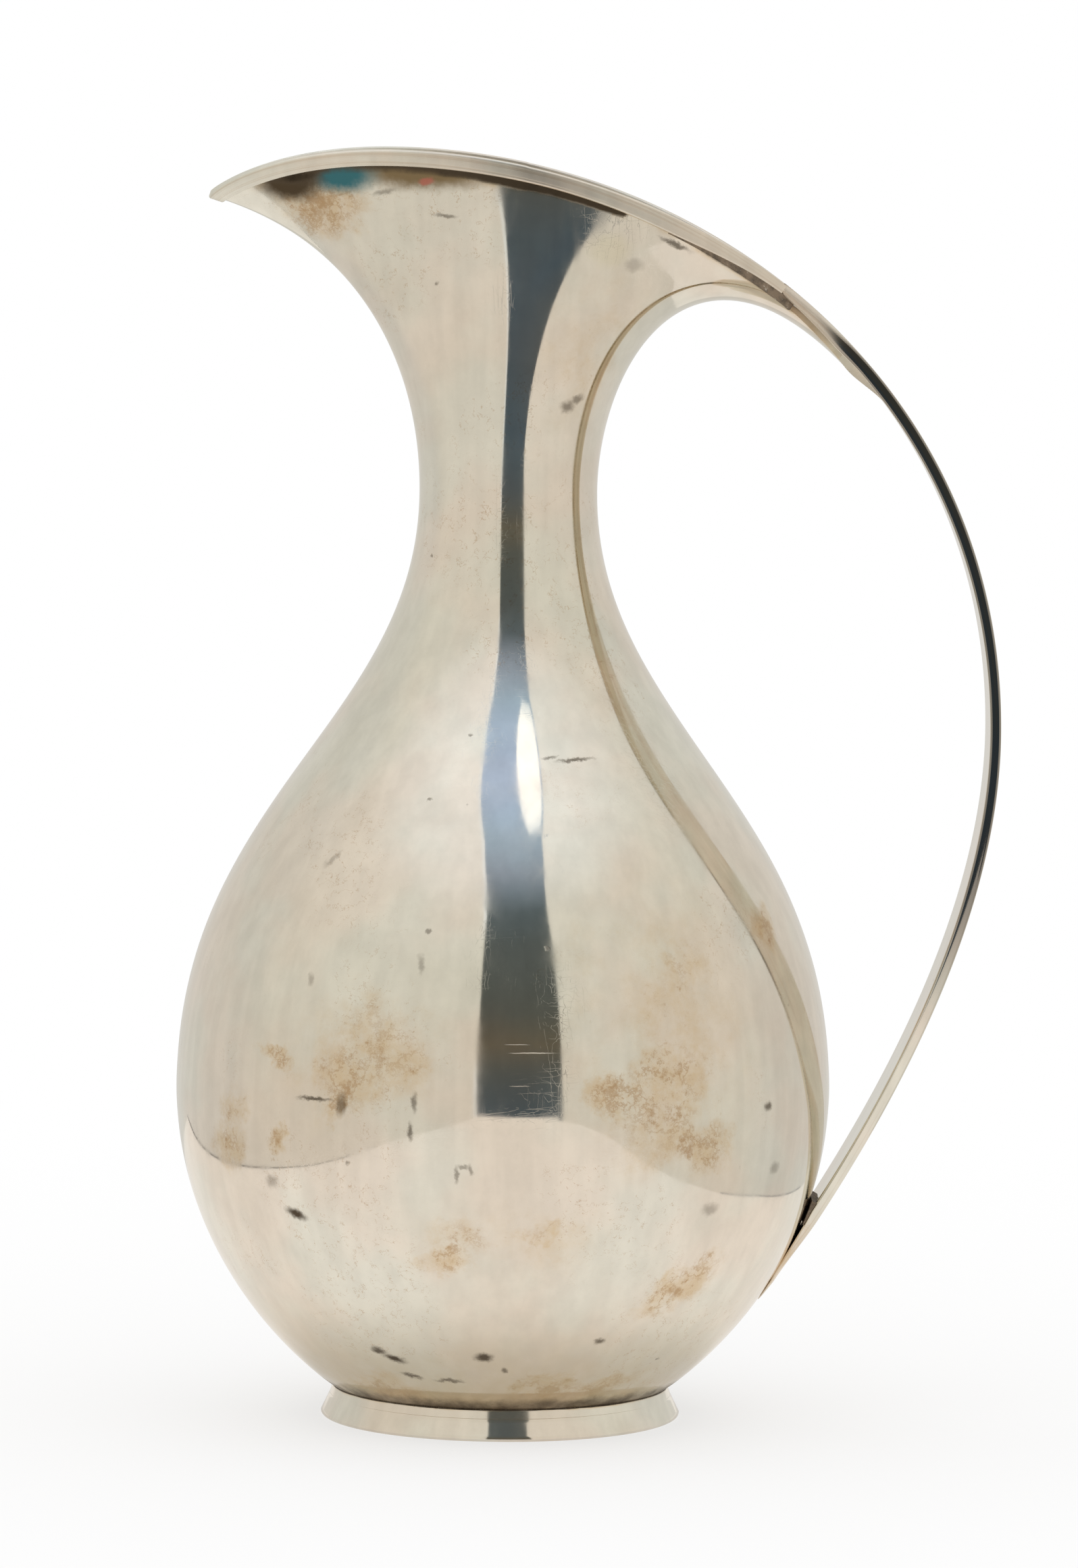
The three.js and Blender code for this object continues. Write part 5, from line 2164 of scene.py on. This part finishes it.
@dataclass
class HandleSolder(Piece):
    """Solder at both ends of the handle, and the beads that ran along the joints."""

    strap: HandleStrap
    wire: RimWire
    bright: SilverFinish
    dark: SolderFinish
    head_length: float = 9
    head_overlap: float = 4
    head_start: float = 1.0
    head_thick: float = 1.34
    head_thin: float = -0.14
    head_halves: tuple[float, float, float] = (1.5, 3.2, 5.5)
    tail_rooms: Span = (0.8, 0.1)
    tail_search: Run = (1.6, 2, 400)
    room_search: Run = (0, 28.6, 2400)
    bite: float = 0.08
    steps: int = 18
    across: int = 12
    ripple: float = 0.08
    seed: int = 5
    run_course: Run = (27, 48, 80)
    run_bite: float = 0.2
    run_least: float = 0.4
    run_proud: float = 0.3
    run_bevel_steps: int = 2
    foot_run: float = 29.15
    foot_run_steps: int = 241
    foot_beads: int = 420
    foot_bead: float = 0.08
    bead_seed: int = 12

    def wedge(
        self, name: str, stretch: Array, thickness: Array, half: Array,
        finish: SilverFinish | SolderFinish, ripple: float,
    ) -> Thing:
        """A wedge of solder that touches the strap's underside.

        Args:
            name: the piece's name.
            stretch: places along the strap.
            thickness: the wedge's thickness there.
            half: its half width there.
            finish: the solder's finish.
            ripple: its unevenness, as a share of the thickness.

        Returns:
            The wedge.
        """
        points, _ = self.strap.outline(stretch)
        depth = self.strap.gauge.thickness(points[:, 1]) - self.bite
        spread = np.linspace(-1, 1, self.across + 1)[None, :] * half[:, None]
        draw = np.random.default_rng(self.seed)
        low = depth[:, None] + 0 * spread
        thin = 1 - ripple * draw.random(spread.shape)
        high = depth[:, None] + (thickness[:, None] + 2 * self.bite) * thin
        across = np.concatenate([spread, spread[:, ::-1]], 1)
        down = np.concatenate([low, high[:, ::-1]], 1)
        loops = self.strap.surface(np.broadcast_to(stretch[:, None], across.shape), across, down)
        faces = grid_faces(*loops.shape[:2], round_columns=True)
        piece = new_object(name, to_metres(loops.reshape(-1, 3)), faces)
        piece.data.materials.append(finish.material())
        close_and_smooth(piece)
        return piece

    def head(self) -> Thing:
        """Solder behind the tongue, which runs out along the strap's underside.

        Returns:
            The solder.
        """
        line, gauge = self.strap.line, self.strap.gauge
        lean = line.lean(gauge.tongue_reach)
        over_end = gauge.tongue_reach - gauge.lap_drop(gauge.tongue_reach) * lean[0] * lean[1]
        reach = over_end + np.array([-self.head_overlap, self.head_length]) * lean[0]
        ends = line.back.where(0, reach)
        share = np.linspace(0, 1, self.steps)
        stretch = lerp(*((ends - self.strap.start) / (1 - self.strap.start)), share)
        tip = self.head_overlap / (self.head_overlap + self.head_length)
        half = np.interp(share, [0, tip, 1], np.array(self.head_halves))
        rise = np.interp(share, [0, tip], [self.head_start, self.head_thick])
        thickness = lerp(rise, self.head_thin, smoothstep(share, tip, 1.0))
        return self.wedge("handle_head_joint", stretch, thickness, half, self.bright, 0.0)

    def room(self, stretch: Array) -> Array:
        """Room between the strap and the bowl at places on the lower handle.

        Args:
            stretch: places along the strap, as for outline.

        Returns:
            Distances from the strap's underside to the bowl.
        """
        points, tangents = self.strap.outline(stretch)
        depth = np.linspace(*self.room_search)
        place = points[:, None, :] + depth[None, :, None] * right_of(tangents)[:, None, :]
        bowl, belly = self.strap.profile.bowl, self.strap.profile.belly_height
        reach = bowl.point(bowl.where(1, place[..., 1]))[..., 0]
        inside = (place[..., 1] < belly) & (reach > place[..., 0])
        hit = depth[np.argmax(inside, 1)]
        return hit - self.strap.gauge.thickness(points[:, 1])

    def tail(self) -> Thing:
        """Solder in the V where the strap meets the bowl.

        Returns:
            The solder.
        """
        trial = np.linspace(*self.tail_search)
        room = self.room(trial)
        ends = [float(trial[np.argmax(room < limit)]) for limit in self.tail_rooms]
        stretch = np.linspace(*ends, self.steps)
        points, _ = self.strap.outline(stretch)
        half = self.strap.half(stretch, points) + self.bite
        room, name = self.room(stretch), "handle_tail_joint"
        return self.wedge(name, stretch, room, half, self.dark, self.ripple)

    def beads(self, name: str, path: Array) -> Thing:
        """Beads of solder along a path, by their count, mean radius and seed.

        Args:
            name: the piece's name.
            path: points of the path.

        Returns:
            The beads.
        """
        piece = new_path(name, to_metres(path))
        settings = {
            "Material": self.dark.material(),
            "Beads": self.foot_beads,
            "Size": self.foot_bead * MM,
            "Seed": self.bead_seed,
        }
        run_tree(piece, bead_tree(), settings)
        for face in piece.data.polygons:
            face.use_smooth = True
        return self.settle(piece, None, Slot.SOLDER)

    def head_run(self, name: str, turn: Array) -> Thing:
        """Dark solder between the wall's edge and the wire where it thins towards the handle.

        Args:
            name: the piece's name.
            turn: places round the mouth.

        Returns:
            The run of solder.
        """
        edge, side, rise, foot, _ = self.wire.course(turn)
        low = np.full(len(turn), -self.run_bite)
        high = np.maximum(foot + self.run_bite, low + self.run_least)
        width, height = self.wire.mouth.gauge.sheet + self.run_proud, self.run_least
        band = WireSection(width, height, self.run_proud, height / 4, self.run_bevel_steps)
        piece = drawn_wire(name, (edge, side, rise, low, high), band, self.dark.material())
        close_and_smooth(piece)
        return self.settle(piece, None, Slot.SOLDER)

    def joint_runs(self) -> list[Thing]:
        """Solder under the handle's head on both sides, and beads of it round the foot.

        Returns:
            Both runs, then the beads.
        """
        turn = self.strap.mouth.turn_at(np.linspace(*self.run_course))
        turns = (turn, 4 - turn)
        made = [self.head_run(f"head_solder_run_{n + 1}", turns[n]) for n in range(2)]
        angle = np.linspace(0, math.tau, self.foot_run_steps)
        bowl, radius = self.strap.profile.bowl, self.foot_run
        height = bowl.point(bowl.where(0, radius))[..., 1]
        path = np.stack([radius * np.cos(angle), radius * np.sin(angle), 0 * angle + height], -1)
        return [*made, self.beads("foot_solder_run", path)]

    def build(self) -> list[Thing]:
        """All the handle's solder, and the beads along the joints.

        Returns:
            The wedges at head and tail, then the runs and beads.
        """
        head = self.settle(self.head(), "handle_head_solder", Slot.SOLDER)
        tail = self.settle(self.tail(), "handle_tail_solder", Slot.SOLDER)
        return [head, tail, *self.joint_runs()]


# Studio


@dataclass
class Studio:
    """White table and tent, with the dark gap in its front that polished silver picks up.

    Places are in millimetres from the body's axis, sides in degrees from the front towards the
    handle, and heights in the tent in degrees above its middle.
    """

    image: tuple[int, int] = (1596, 2322)
    focal_pixels: float = 12725
    sensor: float = 36
    eye: Place = (5.78, -1483.3, 244.6)
    aim_height: float = 110.2
    roll: float = 0.55
    floor_reach: float = 6.0
    floor_near: float = 0.62
    floor_fade: Span = (0.05, 0.45)
    tent_radius: float = 1.7
    tent_middle: float = 60
    tent_behind: Colour = (0.93, 0.95, 0.98)
    behind_fade: Span = (0.0, 0.4)
    gap_radius: float = 1.30
    edge_radius: float = 1.28
    lamp_radius: float = 1.26
    floor_white: float = 0.98
    sheet_colour: Colour = (0.88, 0.845, 0.80)
    sheet_shade: float = 0.77
    sheet_fade: Span = (34, 58)
    sheet_steps: tuple[int, int] = (120, 90)
    patch_steps: tuple[int, int] = (145, 9)
    tent_steps: tuple[int, int] = (97, 91)
    lip_colour: Colour = (0.90, 0.86, 0.81)

    GAP_SIDES = (
        (-60, -8.3, 20.3), (45, -8.3, 20.3), (51, -9.5, 21.5), (59, -13.5, 25), (64, -21, 34),
        (84, -30, 45),
    )
    EDGE_SIDES = (
        (-60, -9.4, -8.3), (45, -9.6, -8.3), (51, -11, -9.5), (59, -15.5, -13.5), (66, -26, -23),
    )
    LAMP_SIDES = ((60, 17, 25), (63, 13, 31), (66, 10, 35), (70, 8, 38))

    TENT = (
        (-90, (0.70, 0.665, 0.61)),
        (0, (0.76, 0.725, 0.665)),
        (30, (0.76, 0.735, 0.67)),
        (45, (0.80, 0.775, 0.72)),
        (53, (0.87, 0.865, 0.845)),
        (62, (0.97, 0.985, 0.99)),
        (90, (1.0, 1.0, 1.0)),
    )
    GAP = (
        (-60, (0.06, 0.092, 0.12)),
        (-17, (0.06, 0.092, 0.12)),
        (-11, (0.11, 0.115, 0.11)),
        (-4, (0.075, 0.104, 0.132)),
        (6, (0.10, 0.11, 0.105)),
        (12, (0.135, 0.12, 0.09)),
        (20, (0.10, 0.105, 0.095)),
        (38, (0.095, 0.11, 0.112)),
        (46, (0.11, 0.14, 0.16)),
        (54, (0.30, 0.37, 0.47)),
        (60, (0.41, 0.54, 0.70)),
        (65, (0.50, 0.64, 0.90)),
        (84, (0.85, 0.93, 1.0)),
    )
    EDGE = (
        (-12, (0.86, 0.88, 0.88)),
        (4, (0.86, 0.88, 0.88)),
        (9, (0.76, 0.73, 0.67)),
        (38, (0.77, 0.745, 0.68)),
        (46, (0.95, 1.0, 1.05)),
        (66, (0.95, 1.0, 1.05)),
    )
    LAMP = (
        (60, (0.9, 1.0, 1.1)),
        (62.5, (1.45, 1.47, 1.5)),
        (70, (1.45, 1.47, 1.5)),
    )
    SHEET_LEFT = (
        (-215, 260), (-195, 130), (-176, -14), (-163, -90), (-160, -190), (-150, -346),
        (-152, -450),
    )
    SHEET_RIGHT = (
        (234, -450), (178, -262), (147, -150), (135, -93), (133, -40), (138, 5), (136, 106),
        (136, 260),
    )
    LIP = (
        (-152, 0), (-89.3, 25), (-81.7, 27.75), (-57.2, 38.4), (150.2, 37.3), (150.2, 27.75),
        (217, 8.9), (234, 0),
    )

    def build(self) -> None:
        """The camera, the world, the table and the tent."""
        self.camera()
        self.world()
        self.floor()
        self.sheet()
        self.tent()
        self.patch("tent_gap", self.GAP_SIDES, self.GAP, self.gap_radius)
        self.patch("tent_gap_edge", self.EDGE_SIDES, self.EDGE, self.edge_radius)
        self.patch("overhead_lamp", self.LAMP_SIDES, self.LAMP, self.lamp_radius)

    def camera(self) -> None:
        """The camera at the photograph's place."""
        data = bpy.data.cameras.new("camera")
        data.sensor_width = self.sensor
        data.lens = self.focal_pixels / max(self.image) * self.sensor
        eye = Vector(to_metres(np.array(self.eye)))
        pitch = math.atan2(self.eye[2] - self.aim_height, -self.eye[1])
        forward = Vector((0, math.cos(pitch), -math.sin(pitch)))
        right = Vector((1, 0, 0))
        up = right.cross(forward)
        turn = math.radians(self.roll)
        across = math.cos(turn) * right + math.sin(turn) * up
        upward = math.cos(turn) * up - math.sin(turn) * right
        axes = Matrix((across, upward, -forward)).transposed()
        camera = bpy.data.objects.new("camera", data)
        camera.matrix_world = Matrix.Translation(eye) @ axes.to_4x4()
        bpy.context.scene.collection.objects.link(camera)
        bpy.context.scene.camera = camera

    @staticmethod
    def world() -> None:
        """Even white light from all round."""
        world = bpy.data.worlds.new("tent light")
        world.use_nodes = True
        background = next(n for n in world.node_tree.nodes if n.type == "BACKGROUND")
        background.inputs["Color"].default_value = (1, 1, 1, 1)
        background.inputs["Strength"].default_value = 1.0
        bpy.context.scene.world = world
        bpy.context.scene.view_settings.view_transform = "Standard"

    @staticmethod
    def staged(piece: Thing, hidden: Sequence[Ray]) -> None:
        """Hides an object from some rays.

        Args:
            piece: the object.
            hidden: the rays that don't see it.
        """
        for ray in hidden:
            setattr(piece, ray.value, False)

    def floor(self) -> None:
        """The white floor, which keeps the pitcher's shadow and runs into the white behind."""
        shader = Shader("white floor")
        shader.feed(shader.surface, "Base Color", (*[self.floor_white] * 3, 1.0))
        shader.feed(shader.surface, "Roughness", 1.0)
        shader.feed(shader.surface, "Specular IOR Level", 0.0)
        inputs = {0: shader.place, 1: (AXIS_X, 0, 0)}
        far = shader.made("ShaderNodeVectorMath", "Value", inputs, operation="DISTANCE")
        white = shader.ranged(far, *self.floor_fade, self.floor_near, 1.0)
        seen = shader.node("ShaderNodeLightPath").outputs["Is Camera Ray"]
        light = shader.node("ShaderNodeEmission")
        mix = shader.node("ShaderNodeMixShader")
        shader.feed(mix, 0, shader.times(white, seen))
        shader.feed(mix, 1, shader.surface.outputs[0])
        shader.feed(mix, 2, light.outputs[0])
        shader.feed(shader.output, "Surface", mix.outputs[0])
        far = self.floor_reach
        corners = np.array([(-far, -far, 0), (far, -far, 0), (far, far, 0), (-far, far, 0)])
        piece = new_object("floor", corners, [(0, 1, 2, 3)])
        piece.data.materials.append(shader.material)
        self.staged(piece, (Ray.GLOSSY,))

    def card(self, name: str, points: Array, faces: Faces, colours: Array) -> None:
        """A card that glows in its points' colours and only shows in the metal.

        Args:
            name: the card's name.
            points: its points in metres.
            faces: its faces, by the points' numbers.
            colours: one colour for each point.
        """
        piece = new_object(name, points, faces)
        mark(piece, glow=colours)
        shader = Shader(name)
        light = shader.node("ShaderNodeEmission")
        shown = shader.node("ShaderNodeAttribute", attribute_name="glow")
        shader.feed(light, "Color", shown.outputs["Color"])
        shader.feed(shader.output, "Surface", light.outputs[0])
        piece.data.materials.append(shader.material)
        self.staged(piece, (Ray.CAMERA, Ray.DIFFUSE, Ray.SHADOW))

    @staticmethod
    def along(line: Line, steps: int) -> Array:
        """Points spread along a broken line.

        Args:
            line: the line's corners.
            steps: how many points.

        Returns:
            Evenly spread points.
        """
        corners = np.array(line, float)
        lengths = np.linalg.norm(np.diff(corners, axis=0), axis=1)
        run = np.concatenate([[0], np.cumsum(lengths)])
        at = np.linspace(0, run[-1], steps)
        return np.stack([np.interp(at, run, corners[:, n]) for n in range(2)], -1)

    def sheet(self) -> None:
        """The white sheet that the pitcher stands on, with a painted shadow round the foot, its
        turned-up front and its dark edges.
        """
        steps, columns = self.sheet_steps
        left = self.along(self.SHEET_LEFT, steps)
        right = self.along(self.SHEET_RIGHT, steps)[::-1]
        share = np.linspace(0, 1, columns)[None, :, None]
        flat = lerp(left[:, None, :], right[:, None, :], share).reshape(-1, 2)
        # The sheet glows darker round the foot: a painted shadow of the pitcher, as the metal sees
        # it.
        clear = smoothstep(np.linalg.norm(flat, axis=1), *self.sheet_fade)
        shade = lerp(self.sheet_shade, 1, clear)
        points = to_metres(np.concatenate([flat, 0 * flat[:, :1]], 1))
        colours = shade[:, None] * np.array(self.sheet_colour)
        self.card("table_sheet", points, grid_faces(steps, columns), colours)
        lip = np.array([(x, self.SHEET_LEFT[-1][1], z) for x, z in self.LIP])
        colours = np.array([self.lip_colour] * len(lip))
        self.card("table_sheet_lip", to_metres(lip), [tuple(range(len(lip)))], colours)
        for name, line, heights, glow in (
            ("table_edge_left", self.SHEET_LEFT[:5], (0.5, 1.7), 0.1),
            ("table_edge_right", self.SHEET_RIGHT[4:7], (0.9, 0.9), 0.4),
        ):
            edge = np.array(line, float)
            tall = np.interp(edge[:, 1], [edge[:, 1].min(), edge[:, 1].max()], heights)
            rows = [np.column_stack([edge, height]) for height in (0 * tall, tall)]
            points = to_metres(np.concatenate(rows))
            self.card(name, points, grid_faces(2, len(edge)), np.full((len(points), 3), glow))

    def tinted(self, ramp: Ramp, lifts: Array) -> Array:
        """Colours of a ramp at heights in the tent.

        Args:
            ramp: colours at some heights.
            lifts: the heights.

        Returns:
            One colour for each height.
        """
        stops = np.array([stop for stop, _ in ramp])
        shades = np.array([shade for _, shade in ramp])
        return np.stack([np.interp(lifts, stops, shades[:, n]) for n in range(3)], -1)

    def dome(self, turn: Array, lift: Array, radius: float) -> Array:
        """Points of the tent by their sides and heights.

        Args:
            turn: sides in degrees.
            lift: heights in degrees.
            radius: distance from the tent's middle in metres.

        Returns:
            The points in metres.
        """
        turn, lift = np.radians(turn), np.radians(lift)
        x, y = np.cos(lift) * np.sin(turn), -np.cos(lift) * np.cos(turn)
        points = np.stack([x, y, np.sin(lift)], -1).reshape(-1, 3) * radius
        return points + np.array([AXIS_X, 0, self.tent_middle * MM])

    def patch(self, name: str, sides: Sides, ramp: Ramp, radius: float) -> None:
        """A patch of the tent's front, glowing by a ramp of heights.

        Args:
            name: the patch's name.
            sides: left and right side of the patch at some heights.
            ramp: its colour at some heights.
            radius: its distance from the tent's middle in metres.
        """
        rows, columns = self.patch_steps
        lifts = np.linspace(ramp[0][0], ramp[-1][0], rows)
        marks = np.array(sides)
        left, right = (np.interp(lifts, marks[:, 0], marks[:, n])[:, None] for n in (1, 2))
        turns = lerp(left, right, np.linspace(0, 1, columns)[None, :])
        colours = np.repeat(self.tinted(ramp, lifts), columns, axis=0)
        points = self.dome(turns, np.broadcast_to(lifts[:, None], turns.shape), radius)
        self.card(name, points, grid_faces(*turns.shape), colours)

    def tent(self) -> None:
        """The tent round the table: warm white walls, whiter overhead and cooler behind."""
        round_steps, rise_steps = self.tent_steps
        sides, rises = np.linspace(-180, 180, round_steps), np.linspace(-90, 90, rise_steps)
        turns, lifts = np.meshgrid(sides, rises)
        points = self.dome(turns, lifts, self.tent_radius)
        colours = self.tinted(self.TENT, lifts.ravel())
        behind = smoothstep(points[:, 1] / self.tent_radius, *self.behind_fade)[:, None]
        colours = colours * lerp(1.0, np.array(self.tent_behind), behind)
        self.card("tent", points, grid_faces(*turns.shape), colours)


def main() -> None:
    """Builds the studio and the pitcher, piece by piece."""
    logging.basicConfig(level=logging.INFO, format="%(name)s %(message)s")
    Studio().build()
    line = SideLine()
    gauge = Gauge(line)
    profile = Profile()
    mouth = Mouth(line, gauge, profile)
    polished = SilverFinish(
        "polished silver",
        foot_wash=0.8,
        pitted=1.6,
        squiggled=0.5,
        stains=BODY_STAINS,
        pits=BODY_PITS,
        shade_and_tarnish_patches=RIM_SHADE_AND_TARNISH,
        scuffs=BODY_SCUFFS,
    )
    banded = SilverFinish(
        "filed rim silver", roughness=0.36, pitted=0.3, grain=(25, 25, 25), grain_fine=3000
    )
    worn = SilverFinish(
        "worn strap silver", roughness=0.05, haze=0.0, scratched=0.1, pitted=0.3,
        grain=(15, 300, 15), grain_depth=0.2, relief=0.08,
    )
    footed = SilverFinish("worn foot silver", roughness=0.07, pitted=0.6, relief=0.15)
    joint = SilverFinish(
        "foot solder silver", roughness=0.09, pitted=0.6, relief=0.15, soot_and_shade=(0.06, 0.045, 0.03)
    )
    black = SolderFinish("dark solder")
    clean = SilverFinish("head solder silver", roughness=0.4, haze=0.0, scratched=0.1, pitted=0.2)
    wire = RimWire(mouth, banded)
    strap = HandleStrap(line, gauge, profile, mouth, worn)
    assemblies = (
        Vessel(profile, gauge, mouth, polished),
        wire,
        strap,
        Foot(profile, gauge, footed, joint),
        HandleSolder(strap, wire, clean, black),
    )
    for assembly in assemblies:
        made = assembly.build()
        LOG.info("%s: %s", type(assembly).__name__, ", ".join(piece.name for piece in made))


if __name__ == "__main__":
    main()
